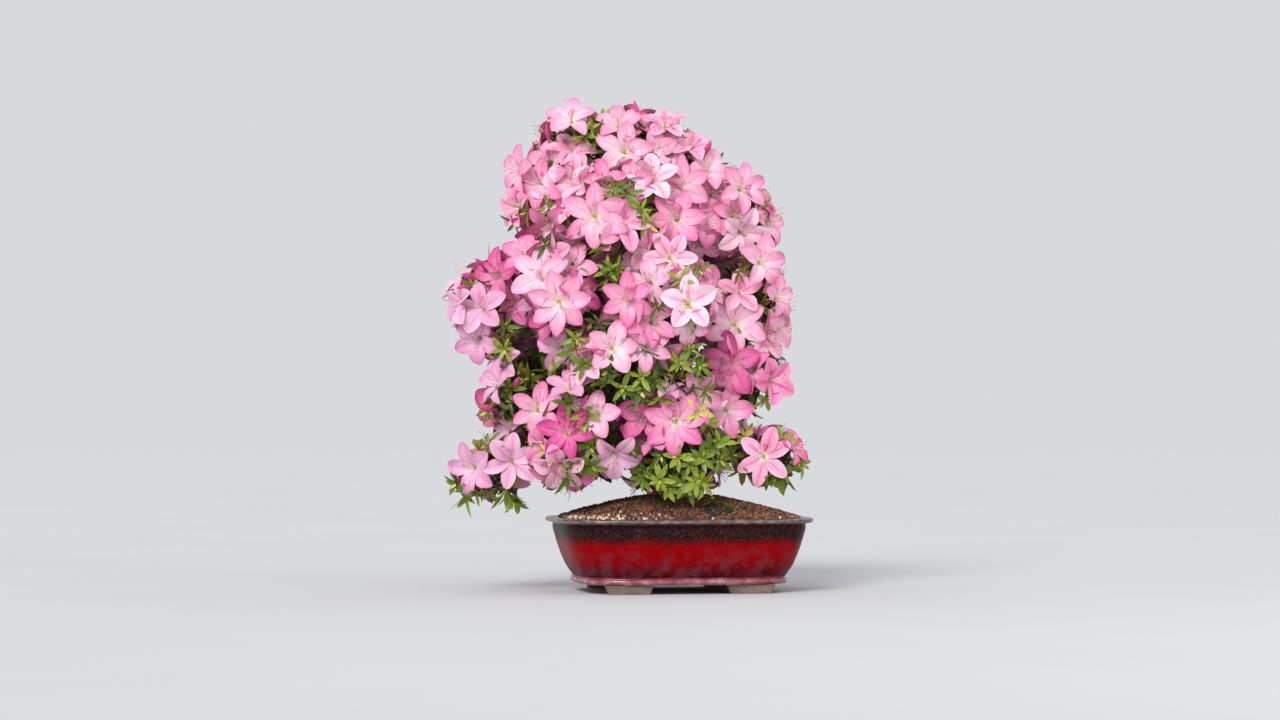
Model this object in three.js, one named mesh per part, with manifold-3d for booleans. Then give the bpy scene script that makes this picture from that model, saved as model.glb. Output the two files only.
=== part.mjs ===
// Azalea in full bloom, trained as a small tree in a glazed pot. Millimetres, +Z up.
// The pot's long side lies along X. The tree is described in a frame of its own, across, deep and
// high from the middle of the pot, and that frame is turned a little from the pot's.
import * as THREE from "three";
import Module from "manifold-3d";

const wasm = await Module();
wasm.setup();

// Driving dimensions of the pot and the soil

const POT_LENGTH = 298; // over the rim
const POT_DEPTH = 236;
const OUTLINE_POWER = 4; // the plan is a superellipse: 2 is an ellipse, and more is squarer
const OUTLINE_SIDES = 36;
const GAP = 0.3; // left between two pieces that touch

// How far each level of the wall is drawn in from the rim's edge, and its height above the table
const UNDERSIDE = 10.5;
const FOOT_BAND = [[31, UNDERSIDE], [28, 12.5], [28, 16], [30.5, 18]];
const BELLY = [[22.5, 30], [14.5, 50], [8, 73], [7.8, 78.8]];
const LIP = [[2.5, 79.8], [0, 81.4], [0, 83.8], [1.5, 85.4], [8, 85.4]];
const INNER_WALL = [[13.5, 84], [20, 50], [37, 22]];

const FOOT_LENGTH = 56;
const FOOT_DEPTH = 20;
const FOOT_DRAW_IN = 4; // how much smaller a foot's sole is on each side
const FOOT_ACROSS = 70; // from the pot's middle to the middle of a foot
const FOOT_DEEP = 74;

const MOUND_HEIGHT = 28.5; // of the soil, over its edge at the rim
const MOUND_LEVELS = [1, 0.84, 0.64, 0.46, 0.3]; // shares of the way out. The last one is flat
const MOUND_FALL = 1.6; // the more, the blunter the mound

// Driving dimensions of the tree

const FRONT_TURN = THREE.MathUtils.degToRad(-10);
// Across, deep, and high over the soil, where the trunk is cut flat
const TRUNK_PATH = [
  [-1, 0, -12], [1, 0, 22], [12, -4, 66], [3, 4, 122],
  [-26, 3, 176], [-47, -5, 232], [-56, 0, 288], [-62, 3, 338],
];
const TRUNK_RADIUS = { foot: 17, tip: 6 };
const TRUNK_FALL = 0.8; // under 1, the trunk thins sooner near its foot
const TRUNK_FACETS = { sides: 15, steps: 14 };
const ROOT_FLARE = { out: 7, height: 22, ridges: 5, ridge: 3 };
const BOUGH_RADIUS = { foot: 7.5, tip: 3 };
const BOUGH_FACETS = { sides: 5, steps: 4 };
const BOUGH_SHARE = 0.62; // the most that a bough's foot may take of the trunk's thickness there
const BOUGH_ARCH = 0.16; // how far a bough rises over the straight line, as a share of its length
const BOUGH_END = 0.55; // how far in from a mass's edge its bough ends: 1 is the edge, 0 the centre

const SPINE_RADIUS = { foot: 4, tip: 3 }; // of the stem that bears a mass's shoots
const SPINE_FACETS = { sides: 3, steps: 1 };
const SPINE_REACH = 0.35; // how far past the centre it ends: 1 is the edge
const SHOOTS_LEAVE = [0.12, 0.96]; // between these shares of a spine's length
const SHOOT_RADIUS = { foot: 1.4, tip: 1.2 };
const FOOT_SUNK = 1.5; // how deep a shoot's foot is under the side of its spine
// Shoots come in rounds, each nearer together and smaller than the one before.
const ROUNDS = [{ spacing: 52, size: 1 }, { spacing: 35, size: 0.85 }, { spacing: 33, size: 0.7 }];
const TRIES = 6; // at fitting a shoot in, each smaller and pulled in further than the one before
const SHRINK = 0.04;
const PULL_IN = 6;
const SIZES = { least: 0.94, spread: 0.12 }; // of the shares of the full reach that shoots have
const LEAN = 0.9; // how far shoots lean from facing straight out

// A flower or a whorl of leaves has arms: the petals or the blades. Each arm is outlined by points
// with a share of the way to the next arm, of the reach out from the middle, and of the height.
const FLOWER = {
  arms: [5, 6], reach: 34, height: 20, middle: 10, arm: [[0, 0.66, 0.75], [0.5, 1, 1]],
};
const WHORL = {
  arms: [4, 5], reach: 28, height: 16, middle: 2.2,
  arm: [[0, 0.09, 0.12], [0.22, 0.5, 0.55], [0.5, 1, 1], [0.78, 0.5, 0.55]],
};
const CLEAR = 0.6; // kept from other masses and limbs
const OVER_SOIL = 1.2;
const LOWEST = 90.5; // no leaf hangs under this height, which is just over the rim

// Masses of foliage: the centre, across, deep and high from the middle of the pot on the table; the
// half sizes; the share of shoots that end in a flower; the height over the soil at which the
// bough leaves the trunk. The mass with no fork sits on the trunk's tip.
const MASS_POWER = 2.7; // a mass is a superellipsoid: 2 is an ellipsoid, and more is squarer
const COVERED = 0.9; // a site this deep in another mass, or deeper, bears nothing
const MASSES = [
  { name: "top_left", at: [-128, 2, 498], half: [66, 58, 60], bloom: 0.9, fork: 300 },
  { name: "top_right", at: [-30, -8, 496], half: [76, 60, 62], bloom: 0.95 },
  { name: "top_back", at: [-66, 80, 474], half: [68, 56, 60], bloom: 0.9, fork: 312 },
  { name: "crown_left", at: [-144, -8, 444], half: [52, 58, 50], bloom: 0.95, fork: 268 },
  { name: "crown_front", at: [-62, -80, 431], half: [66, 52, 62], bloom: 0.95, fork: 250 },
  { name: "crown_right", at: [50, -6, 437], half: [72, 62, 62], bloom: 0.95, fork: 282 },
  { name: "left_arm", at: [-214, -6, 338], half: [62, 56, 56], bloom: 0.95, fork: 176 },
  { name: "middle_front_left", at: [-122, -86, 350], half: [60, 50, 60], bloom: 0.9, fork: 196 },
  { name: "middle_front_right", at: [-22, -98, 324], half: [60, 50, 62], bloom: 0.85, fork: 160 },
  { name: "middle_right", at: [76, -10, 340], half: [64, 64, 64], bloom: 0.95, fork: 204 },
  { name: "middle_back_left", at: [-136, 84, 360], half: [68, 60, 66], bloom: 0.9, fork: 222 },
  { name: "middle_back_right", at: [14, 92, 364], half: [70, 60, 66], bloom: 0.9, fork: 212 },
  { name: "lower_left", at: [-182, -12, 246], half: [58, 58, 62], bloom: 0.75, fork: 112 },
  { name: "lower_front", at: [-84, -88, 256], half: [66, 52, 62], bloom: 0.65, fork: 98 },
  { name: "lower_middle", at: [-4, -80, 234], half: [48, 50, 44], bloom: 0.85, fork: 104 },
  { name: "lower_right", at: [76, -14, 246], half: [60, 64, 60], bloom: 0.85, fork: 124 },
  { name: "lower_back", at: [-62, 96, 248], half: [80, 60, 64], bloom: 0.8, fork: 136 },
  { name: "bottom_left", at: [-208, -4, 149], half: [64, 64, 51], bloom: 0.8, fork: 62 },
  { name: "bottom_middle", at: [-112, -64, 166], half: [62, 56, 60], bloom: 0.75, fork: 80 },
  { name: "bottom_front", at: [-4, -64, 154], half: [60, 46, 48], bloom: 0.2, fork: 32 },
  { name: "bottom_right", at: [102, -8, 156], half: [50, 56, 48], bloom: 0.85, fork: 48 },
  { name: "bottom_back", at: [-10, 84, 160], half: [92, 56, 52], bloom: 0.75, fork: 42 },
];

// The front view's grid: steps to the right and down from its upper left corner
const GRID = { step: 1.16, across: -786.4, high: 682.1 };

// The crown's outline, seen from the front, from the notch over the left arm clockwise
const OUTLINE = [
  [502, 219], [507, 200], [511, 186], [507, 166], [515, 151], [531, 146], [537, 134], [543, 121],
  [549, 115], [557, 101], [571, 97], [584, 101], [597, 105], [613, 105], [632, 101], [648, 103],
  [661, 104], [673, 106], [680, 115], [686, 128], [695, 123], [699, 139], [712, 137], [722, 147],
  [728, 157], [739, 158], [735, 168], [748, 166], [754, 177], [765, 179], [768, 194], [775, 205],
  [777, 221], [783, 245], [787, 256], [785, 270], [791, 296], [787, 308], [796, 318], [795, 328],
  [790, 340], [785, 352], [789, 367], [786, 381], [790, 392], [778, 401], [777, 409], [763, 406],
  [752, 402], [754, 414], [747, 423], [757, 421], [768, 424], [785, 422], [791, 434], [803, 425],
  [806, 456], [813, 465], [801, 470], [795, 479], [784, 490], [768, 491], [754, 487], [746, 472],
  [736, 477], [724, 479], [713, 493], [703, 498], [655, 498], [640, 490], [632, 483], [641, 468],
  [629, 480], [611, 484], [599, 481], [590, 489], [580, 492], [574, 481], [568, 498], [550, 494],
  [542, 484], [537, 470], [531, 485], [519, 490], [518, 518], [504, 513], [499, 500], [486, 503],
  [463, 513], [455, 506], [457, 496], [440, 487], [449, 480], [446, 465], [459, 457], [460, 443],
  [478, 450], [488, 444], [480, 426], [470, 419], [469, 405], [487, 402], [477, 394], [477, 383],
  [484, 378], [483, 367], [491, 360], [484, 357], [469, 356], [465, 344], [459, 337], [455, 318],
  [441, 303], [441, 292], [449, 286], [457, 286], [457, 273], [464, 264], [479, 267], [482, 252],
  [489, 244], [503, 243], [517, 243], [523, 237], [533, 241], [525, 225], [514, 236], [503, 240],
];

// Flowers that show from the front, the nearest first: their place on the grid, their reach in steps,
// and how many degrees they are turned to the right and up
const SHOWN = [
  [595, 216, 34, 0, 0], [559, 302, 32, 0, -5], [735, 324, 33, 5, 0], [731, 363, 34, -10, -20],
  [676, 422, 34, 0, -5], [764, 457, 30, 0, 0], [511, 461, 30, 0, 0], [628, 299, 27, 0, 0],
  [540, 276, 32, -5, 15], [566, 433, 29, -5, 10], [624, 150, 30, 0, 10], [681, 186, 32, 5, 5],
  [537, 410, 28, -5, 10], [689, 303, 30, 5, 5], [612, 348, 27, 10, 0], [677, 218, 30, 0, 0],
  [646, 346, 27, 0, -5], [741, 188, 28, 25, 10], [571, 120, 26, -5, 35], [646, 415, 29, -5, 5],
  [726, 410, 28, 5, -5], [614, 454, 28, 5, -40], [560, 465, 29, -5, -40], [473, 468, 28, -25, -10],
  [482, 308, 27, -20, 10], [761, 262, 28, 35, 5], [670, 257, 28, 5, 0], [742, 230, 27, 20, -20],
  [707, 170, 28, 25, 35], [652, 151, 27, 5, 5], [597, 415, 26, -15, 5], [771, 381, 27, 40, 0],
  [622, 222, 28, 15, 5], [649, 248, 25, 0, -5], [652, 321, 28, 5, 15], [577, 291, 27, 35, 5],
  [478, 338, 26, -20, -15], [498, 275, 29, -40, 5], [572, 178, 27, -10, 5], [765, 335, 28, 40, 0],
  [706, 222, 26, 10, 5], [512, 301, 26, -30, -10], [549, 222, 25, -10, -40], [521, 170, 26, -50, 5],
  [549, 160, 25, -25, 10], [602, 182, 26, 0, 20], [652, 178, 28, 0, 20], [618, 124, 24, 0, 35],
  [665, 124, 24, 5, 45], [690, 145, 24, 20, 40], [518, 205, 25, -55, 0], [757, 198, 24, 50, 20],
  [767, 222, 24, 55, 5], [721, 238, 25, 5, -45], [775, 298, 25, 55, 5], [777, 328, 24, 60, -5],
  [461, 302, 24, -60, 0], [525, 256, 26, -20, 35], [500, 384, 25, -60, 10], [510, 430, 25, -55, 25],
  [570, 390, 24, -10, 50], [792, 449, 22, 60, 25],
];
const SUNK = { deep: 4, along: 14 }; // how far the foot of a shown flower is behind the crown's surface

// Spots on the grid where whorls show in place of flowers, and where the crown is open, with their reach
const LEAFY = [
  [591, 124, 17], [622, 191, 15], [646, 212, 14], [612, 266, 14], [574, 347, 15], [503, 338, 18],
  [510, 394, 15], [690, 358, 24], [637, 383, 24], [586, 450, 19], [680, 470, 40], [715, 450, 22],
  [480, 498, 22], [512, 504, 16], [806, 465, 14], [785, 432, 12], [774, 482, 12], [480, 412, 14],
];
const OPEN = [
  [718, 257, 21], [533, 345, 24], [592, 313, 11], [690, 392, 16], [592, 390, 13], [545, 240, 10],
  [632, 250, 9], [607, 250, 13], [560, 380, 12], [725, 345, 8],
];

const SEED = 4;
const VIEW_FROM = -200; // in front of the whole crown
const VIEW_STEP = 4;
const GOLDEN_ANGLE = Math.PI * (3 - Math.sqrt(5));
const UP = new THREE.Vector3(0, 0, 1);

// Materials

function finish(color, roughness) {
  return new THREE.MeshStandardMaterial({ color, roughness, metalness: 0 });
}

const GLAZE = finish(0x8c1018, 0.18);
const BARE_CLAY = finish(0xa89a86, 0.85);
const SOIL = finish(0x7a4f38, 0.95);
const BARK = finish(0x6b5442, 0.9);
const BLOSSOM = finish(0xf29fc4, 0.6);
const LEAVES = finish(0x5d8a35, 0.5);

// Solids

const { Manifold, Mesh: Triangles } = wasm;

function solid(points, faces) {
  const vertProperties = Float32Array.from(points.flatMap((p) => p.toArray()));
  const triVerts = Uint32Array.from(faces.flat());
  return new Manifold(new Triangles({ numProp: 3, vertProperties, triVerts }));
}

// A skin over rings of points, each anticlockwise about the way they go. A ring may be one point.
function loft(rings) {
  const starts = rings.map((_, i) => rings.slice(0, i).flat().length);
  const faces = [];
  for (let r = 1; r < rings.length; r += 1) {
    const [low, high] = [rings[r - 1].length, rings[r].length];
    let [i, j] = [0, 0];
    while (i < (low > 1 ? low : 0) || j < (high > 1 ? high : 0)) {
      const onLow = low > 1 && (high === 1 || j === high || (i + 1) / low <= (j + 1) / high);
      const [a, b] = [starts[r - 1] + (i % low), starts[r] + (j % high)];
      if (onLow) faces.push([a, starts[r - 1] + ((i + 1) % low), b]);
      else faces.push([a, starts[r] + ((j + 1) % high), b]);
      if (onLow) i += 1;
      else j += 1;
    }
  }
  const last = starts.at(-1);
  for (let s = 2; s < rings[0].length; s += 1) faces.push([0, s, s - 1]);
  for (let s = 2; s < rings.at(-1).length; s += 1) faces.push([last, last + s - 1, last + s]);
  return solid(rings.flat(), faces);
}

// A level ring about the upright line
function ring(count, radius, height) {
  return Array.from({ length: count }, (_, i) => {
    const angle = (2 * Math.PI * i) / count;
    const out = typeof radius === "function" ? radius(i, angle) : radius;
    return new THREE.Vector3(out * Math.cos(angle), out * Math.sin(angle), height);
  });
}

// A round limb along a curve. radius(share, angle) is its size at a share of its length.
function limb(curve, radius, { sides, steps }) {
  const frames = curve.computeFrenetFrames(steps);
  const rings = frames.tangents.map((tangent, i) => {
    const share = i / steps;
    const place = new THREE.Matrix4()
      .makeBasis(frames.normals[i], frames.binormals[i], tangent)
      .setPosition(curve.getPointAt(share));
    return ring(sides, (_, angle) => radius(share, angle), 0).map((p) => p.applyMatrix4(place));
  });
  return loft(rings);
}

const tapered = ({ foot, tip }) => (share) => THREE.MathUtils.lerp(foot, tip, share);

function largestBody(shape) {
  return shape.decompose().reduce((a, b) => (a.volume() > b.volume() ? a : b));
}

function meshOf(name, shape, material) {
  const { vertProperties, triVerts } = shape.getMesh();
  const geometry = new THREE.BufferGeometry()
    .setAttribute("position", new THREE.BufferAttribute(vertProperties, 3))
    .setIndex(new THREE.BufferAttribute(triVerts, 1));
  geometry.computeVertexNormals();
  const mesh = new THREE.Mesh(geometry, material);
  mesh.name = name;
  return mesh;
}

// Seeded numbers from 0 to 1

function numbersFrom(seed) {
  let state = (seed + 100000 * SEED) >>> 0;
  return () => {
    state = (state + 0x6d2b79f5) >>> 0;
    let mixed = Math.imul(state ^ (state >>> 15), state | 1);
    mixed ^= mixed + Math.imul(mixed ^ (mixed >>> 7), mixed | 61);
    return ((mixed ^ (mixed >>> 14)) >>> 0) / 2 ** 32;
  };
}

// Pot, feet and soil

function outline(drawnIn, height, share = 1) {
  const squaring = 2 / OUTLINE_POWER;
  return Array.from({ length: OUTLINE_SIDES }, (_, i) => {
    const angle = (2 * Math.PI * i) / OUTLINE_SIDES;
    const way = [Math.cos(angle), Math.sin(angle)];
    const [x, y] = way.map((v) => Math.sign(v) * Math.abs(v) ** squaring);
    const [halfLength, halfDepth] = [POT_LENGTH / 2 - drawnIn, POT_DEPTH / 2 - drawnIn];
    return new THREE.Vector3(share * halfLength * x, share * halfDepth * y, height);
  });
}

const potLevels = [...FOOT_BAND, ...BELLY, ...LIP, ...INNER_WALL];
const pot = loft(potLevels.map(([drawnIn, z]) => outline(drawnIn, z)));

function foot() {
  const corners = [[-1, -1], [1, -1], [1, 1], [-1, 1]];
  const level = (drawnIn, z) => {
    const [halfLength, halfDepth] = [FOOT_LENGTH / 2 - drawnIn, FOOT_DEPTH / 2 - drawnIn];
    return corners.map(([x, y]) => new THREE.Vector3(x * halfLength, y * halfDepth, z));
  };
  return loft([level(FOOT_DRAW_IN, 0), level(0, UNDERSIDE - GAP)]);
}

const [SOIL_EDGE_IN, SOIL_EDGE] = INNER_WALL[0];
const moundHeight = (share) => SOIL_EDGE + MOUND_HEIGHT * Math.max(0, 1 - share ** MOUND_FALL);
const SOIL_TOP = moundHeight(MOUND_LEVELS.at(-1));

function soilBody() {
  const clear = 1.3 * GAP;
  const buried = [...INNER_WALL].reverse().map(([drawnIn, z]) => outline(drawnIn + clear, z));
  buried[0].forEach((p) => (p.z += GAP));
  const mound = MOUND_LEVELS.slice(1).map((share) => {
    return outline(SOIL_EDGE_IN + clear, moundHeight(share), share);
  });
  return loft([...buried, ...mound]);
}

// Height of the soil, in the pot's frame, under a point of the tree's frame
function soilUnder(point) {
  const p = point.clone().applyAxisAngle(UP, FRONT_TURN);
  const x = Math.abs(p.x) / (POT_LENGTH / 2 - SOIL_EDGE_IN);
  const y = Math.abs(p.y) / (POT_DEPTH / 2 - SOIL_EDGE_IN);
  return moundHeight((x ** OUTLINE_POWER + y ** OUTLINE_POWER) ** (1 / OUTLINE_POWER));
}

// Trunk and boughs

const trunkFoot = SOIL_TOP + GAP;
const trunkCurve = new THREE.CatmullRomCurve3(
  TRUNK_PATH.map(([across, deep, high]) => new THREE.Vector3(across, deep, trunkFoot + high)),
);
const trunkLength = trunkCurve.getLength();

function trunkRadius(share, angle) {
  const flare = Math.exp((-share * trunkLength) / ROOT_FLARE.height);
  const ridge = ROOT_FLARE.ridge * Math.cos(ROOT_FLARE.ridges * angle);
  return tapered(TRUNK_RADIUS)(share ** TRUNK_FALL) + flare * (ROOT_FLARE.out + ridge);
}

function trunkBody(grown = 0) {
  const whole = limb(trunkCurve, (share, angle) => trunkRadius(share, angle) + grown, TRUNK_FACETS);
  return whole.trimByPlane(UP.toArray(), trunkFoot);
}

// How far along the trunk its middle line reaches a height over the soil
function shareAtHeight(height) {
  const halvings = 30;
  let [low, high] = [0, 1];
  for (let i = 0; i < halvings; i += 1) {
    const middle = (low + high) / 2;
    if (trunkCurve.getPointAt(middle).z - trunkFoot < height) low = middle;
    else high = middle;
  }
  return low;
}

const centreOf = (mass) => new THREE.Vector3(...mass.at);

// The depth of a point given from a mass's centre: 0 is the centre and 1 the edge.
function depthOf(mass, { x, y, z }) {
  const shares = [x, y, z].map((v, i) => Math.abs(v / mass.half[i]) ** MASS_POWER);
  return (shares[0] + shares[1] + shares[2]) ** (1 / MASS_POWER);
}

// How far it is from a mass's centre to its edge, along a direction
function edge(mass, direction) {
  return 1 / depthOf(mass, direction);
}

function boughCurve(mass) {
  const from = trunkCurve.getPointAt(shareAtHeight(mass.fork));
  const centre = centreOf(mass);
  const back = from.clone().sub(centre).normalize();
  const to = centre.clone().addScaledVector(back, edge(mass, back) * BOUGH_END);
  const top = from.clone().lerp(to, 0.5);
  top.z += BOUGH_ARCH * from.distanceTo(to);
  return new THREE.QuadraticBezierCurve3(from, top, to);
}

function boughBody(mass, curve, grown = 0) {
  const foot = Math.min(BOUGH_RADIUS.foot, BOUGH_SHARE * trunkRadius(shareAtHeight(mass.fork), 0));
  return limb(curve, (share) => tapered({ foot, tip: BOUGH_RADIUS.tip })(share) + grown, BOUGH_FACETS);
}

// Shoots, each one skin from its foot to the petals or blades at its end

function starRings({ height, middle, arm }, arms, reach) {
  const outlined = Array.from({ length: arms }, (_, i) =>
    arm.map(([turn, out, up]) => {
      const angle = (2 * Math.PI * (i + turn)) / arms;
      return new THREE.Vector3(out * reach * Math.cos(angle), out * reach * Math.sin(angle), up * height);
    }),
  );
  return [ring(3, SHOOT_RADIUS.tip, 0), outlined.flat(), [new THREE.Vector3(0, 0, middle)]];
}

function shootRings(from, to, facing, star) {
  const along = to.clone().sub(from).normalize();
  const turn = new THREE.Quaternion().setFromUnitVectors(UP, along);
  const nod = new THREE.Quaternion().setFromUnitVectors(along, facing);
  const foot = ring(3, SHOOT_RADIUS.foot, 0).map((p) => p.applyQuaternion(turn).add(from));
  const end = star.map((points) =>
    points.map((p) => p.clone().applyQuaternion(turn).applyQuaternion(nod).add(to)),
  );
  return [foot, ...end];
}

// Masses

const meanHalf = (mass) => (mass.half[0] + mass.half[1] + mass.half[2]) / 3;

function onGrid({ x, z }) {
  return [(x - GRID.across) / GRID.step, (GRID.high - z) / GRID.step];
}

function inOutline(point) {
  const [x, y] = onGrid(point);
  let inside = false;
  OUTLINE.forEach(([x1, y1], i) => {
    const [x2, y2] = OUTLINE[(i + 1) % OUTLINE.length];
    if (y1 > y !== y2 > y && x < x1 + ((x2 - x1) * (y - y1)) / (y2 - y1)) inside = !inside;
  });
  return inside;
}

// Whether a place shows in one of the spots
function inSpot(place, spots) {
  const [x, y] = onGrid(place);
  return spots.some(([across, down, reach]) => Math.hypot(x - across, y - down) < reach);
}

// A mass's own space is cut from its neighbours' by planes, so it is convex. This is how far a
// point lies on the mass's own side of the plane between it and another mass.
function ownSide(mass, other, p) {
  const power = (m) => p.distanceToSquared(centreOf(m)) - meanHalf(m) ** 2;
  return (power(other) - power(mass)) / (2 * centreOf(other).distanceTo(centreOf(mass)));
}

function inOwnSpace(mass, points) {
  return points.every((p) => {
    const overSoil = p.z > LOWEST && p.z > soilUnder(p) + OVER_SOIL;
    const own = MASSES.every((other) => other === mass || ownSide(mass, other, p) > CLEAR);
    return overSoil && own && inOutline(p);
  });
}

// The way to move points that stick out of a mass's own space, to bring them into it
function moveIntoSpace(mass, points) {
  const move = new THREE.Vector3();
  for (const other of MASSES.filter((m) => m !== mass)) {
    const out = 1.01 * CLEAR - Math.min(...points.map((p) => ownSide(mass, other, p.clone().add(move))));
    const own = centreOf(mass).sub(centreOf(other)).normalize();
    if (out > 0) move.addScaledVector(own, out);
  }
  move.z += Math.max(0, ...points.map((p) => LOWEST + CLEAR - p.z - move.z));
  return move;
}

// The evenly spread direction number i of count
function spread(i, count) {
  const z = 1 - (2 * i + 1) / count;
  const out = Math.sqrt(1 - z * z);
  return new THREE.Vector3(out * Math.cos(i * GOLDEN_ANGLE), out * Math.sin(i * GOLDEN_ANGLE), z);
}

// The places on a mass's edge that no other mass covers, with the numbers that shape what grows there
function sitesOf(mass, round) {
  const count = Math.round((4 * Math.PI * meanHalf(mass) ** 2) / ROUNDS[round].spacing ** 2);
  const found = [];
  for (let i = 0; i < count; i += 1) {
    const draw = numbersFrom(1000 * (MASSES.indexOf(mass) + 1) + 500 * round + i);
    const way = spread(i, count);
    const place = centreOf(mass).addScaledVector(way, edge(mass, way));
    const covered = (other) => depthOf(other, place.clone().sub(centreOf(other))) < COVERED;
    if (MASSES.some((other) => other !== mass && covered(other)) || inSpot(place, OPEN)) continue;
    const flowers = draw() < mass.bloom && !inSpot(place, LEAFY);
    const reach = (flowers ? FLOWER : WHORL).reach * ROUNDS[round].size;
    found.push({ place, way, draw, reach, flowers });
  }
  return found;
}

// The places of the flowers that show from the front, as far as they are on this mass
function shownOn(mass) {
  const found = [];
  SHOWN.forEach(([x, y, reach, right, up], i) => {
    const place = new THREE.Vector3(GRID.across + GRID.step * x, VIEW_FROM, GRID.high - GRID.step * y);
    const depths = () => MASSES.map((other) => depthOf(other, place.clone().sub(centreOf(other))));
    while (place.y < 0 && Math.min(...depths()) > 1) place.y += VIEW_STEP;
    const nearest = depths();
    if (nearest.indexOf(Math.min(...nearest)) !== MASSES.indexOf(mass)) return;
    const way = place.clone().sub(centreOf(mass)).normalize();
    const facing = new THREE.Vector3(0, -1, 0)
      .applyAxisAngle(new THREE.Vector3(1, 0, 0), THREE.MathUtils.degToRad(-up))
      .applyAxisAngle(UP, THREE.MathUtils.degToRad(right));
    place.y += SUNK.deep;
    found.push({ place, way, draw: numbersFrom(i), reach: reach * GRID.step, flowers: true, facing });
  });
  return found;
}

// The line of a mass's stem, from within the tip of the limb that bears it to past the mass's centre
function spineOf(mass, tip) {
  const centre = centreOf(mass);
  const onward = centre.clone().sub(tip).normalize();
  const start = tip.clone().addScaledVector(onward, -SPINE_RADIUS.foot);
  return new THREE.LineCurve3(start, centre.addScaledVector(onward, edge(mass, onward) * SPINE_REACH));
}

// Where a shoot towards a point starts: under the middle of the nearest side of its spine
function footOn(spine, point) {
  const nearest = new THREE.Line3(spine.v1, spine.v2).closestPointToPointParameter(point, false);
  const share = THREE.MathUtils.clamp(nearest, ...SHOOTS_LEAVE);
  const foot = spine.getPoint(share);
  const out = point.clone().sub(foot);
  const { normals, binormals } = spine.computeFrenetFrames(1);
  const sides = [1, 3, 5].map((i) => {
    const angle = (i * Math.PI) / 3;
    const across = normals[0].clone().multiplyScalar(Math.cos(angle));
    return across.addScaledVector(binormals[0], Math.sin(angle));
  });
  const side = sides.reduce((a, b) => (a.dot(out) > b.dot(out) ? a : b));
  return foot.addScaledVector(side, tapered(SPINE_RADIUS)(share) / 2 - FOOT_SUNK);
}

function growMass(mass, bearer, limbs) {
  const [tip, heading] = [bearer.getPointAt(1), bearer.getTangentAt(1)];
  const spine = spineOf(mass, tip);
  const whole = limb(spine, tapered(SPINE_RADIUS), SPINE_FACETS);
  const stem = whole.trimByPlane(heading.toArray(), tip.dot(heading) + GAP);
  let grown = Manifold.union([]);

  // A shoot grows if it keeps to the mass's space and touches no limb and no shoot before it.
  const fitted = (rings) => {
    if (!inOwnSpace(mass, rings.flat())) return undefined;
    const shape = loft(rings);
    return shape.intersect(limbs).isEmpty() && shape.intersect(grown).isEmpty() ? shape : undefined;
  };

  for (const site of [...shownOn(mass), ...ROUNDS.flatMap((_, i) => sitesOf(mass, i))]) {
    const { place, way, draw } = site;
    const kind = site.flowers ? FLOWER : WHORL;
    for (let attempt = 0; attempt < TRIES; attempt += 1) {
      const arms = kind.arms[Math.floor(kind.arms.length * draw())];
      const share = SIZES.least + SIZES.spread * draw();
      const reach = site.reach * share * (1 - SHRINK * attempt);
      const star = starRings(kind, arms, reach);
      const lean = new THREE.Vector3(draw() - 0.5, draw() - 0.5, draw() - 0.5);
      const facing = site.facing ?? way.clone().addScaledVector(lean, LEAN).normalize();
      const end = place.clone().addScaledVector(way, -PULL_IN * attempt);
      end.addScaledVector(facing, site.facing ? -SUNK.along : -kind.height);
      const head = shootRings(footOn(spine, end), end, facing, star).slice(1);
      end.add(moveIntoSpace(mass, head.flat()));
      const shoot = fitted(shootRings(footOn(spine, end), end, facing, star));
      if (shoot) {
        grown = grown.add(shoot);
        break;
      }
    }
  }

  return largestBody(stem.add(grown));
}

// Assembly

const pottery = new THREE.Group();
pottery.add(meshOf("pot", pot, GLAZE), meshOf("soil", soilBody(), SOIL));
for (const [side, x] of [["left", -1], ["right", 1]]) {
  for (const [end, y] of [["front", -1], ["back", 1]]) {
    const mesh = meshOf(`foot_${end}_${side}`, foot(), BARE_CLAY);
    mesh.position.set(x * FOOT_ACROSS, y * FOOT_DEEP, 0);
    pottery.add(mesh);
  }
}

const tree = new THREE.Group();
tree.rotation.z = FRONT_TURN;
tree.add(meshOf("trunk", trunkBody(), BARK));

const forked = MASSES.filter((mass) => mass.fork !== undefined);
const curves = new Map(forked.map((mass) => [mass, boughCurve(mass)]));
let taken = trunkBody(GAP);
for (const [mass, curve] of curves) {
  tree.add(meshOf(`bough_${mass.name}`, largestBody(boughBody(mass, curve).subtract(taken)), BARK));
  taken = taken.add(boughBody(mass, curve, GAP));
}

for (const mass of MASSES) {
  const boughs = [...curves].map(([owner, curve]) => boughBody(owner, curve, owner === mass ? 0 : CLEAR));
  const limbs = Manifold.union([trunkBody(mass.fork === undefined ? 0 : CLEAR), ...boughs]);
  const body = growMass(mass, curves.get(mass) ?? trunkCurve, limbs);
  tree.add(meshOf(`foliage_${mass.name}`, body, mass.bloom < 0.5 ? LEAVES : BLOSSOM));
}

const plant = new THREE.Group();
plant.add(pottery, tree);

// The origin is in the middle of the whole plant's box, on the table.
plant.updateMatrixWorld(true);
const middle = new THREE.Box3().setFromObject(plant, true).getCenter(new THREE.Vector3());
plant.position.set(-middle.x, -middle.y, 0);

export default plant;
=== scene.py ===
"""Azalea in full bloom, trained as a small tree in a glazed pot. Lengths are in millimetres until placed.

The pot's long side lies along X. The tree has a frame of its own, across, deep and high from the middle
of the pot, and that frame is turned a little from the pot's.
"""

import math

import bpy
import numpy as np
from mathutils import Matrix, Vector, noise


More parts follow.
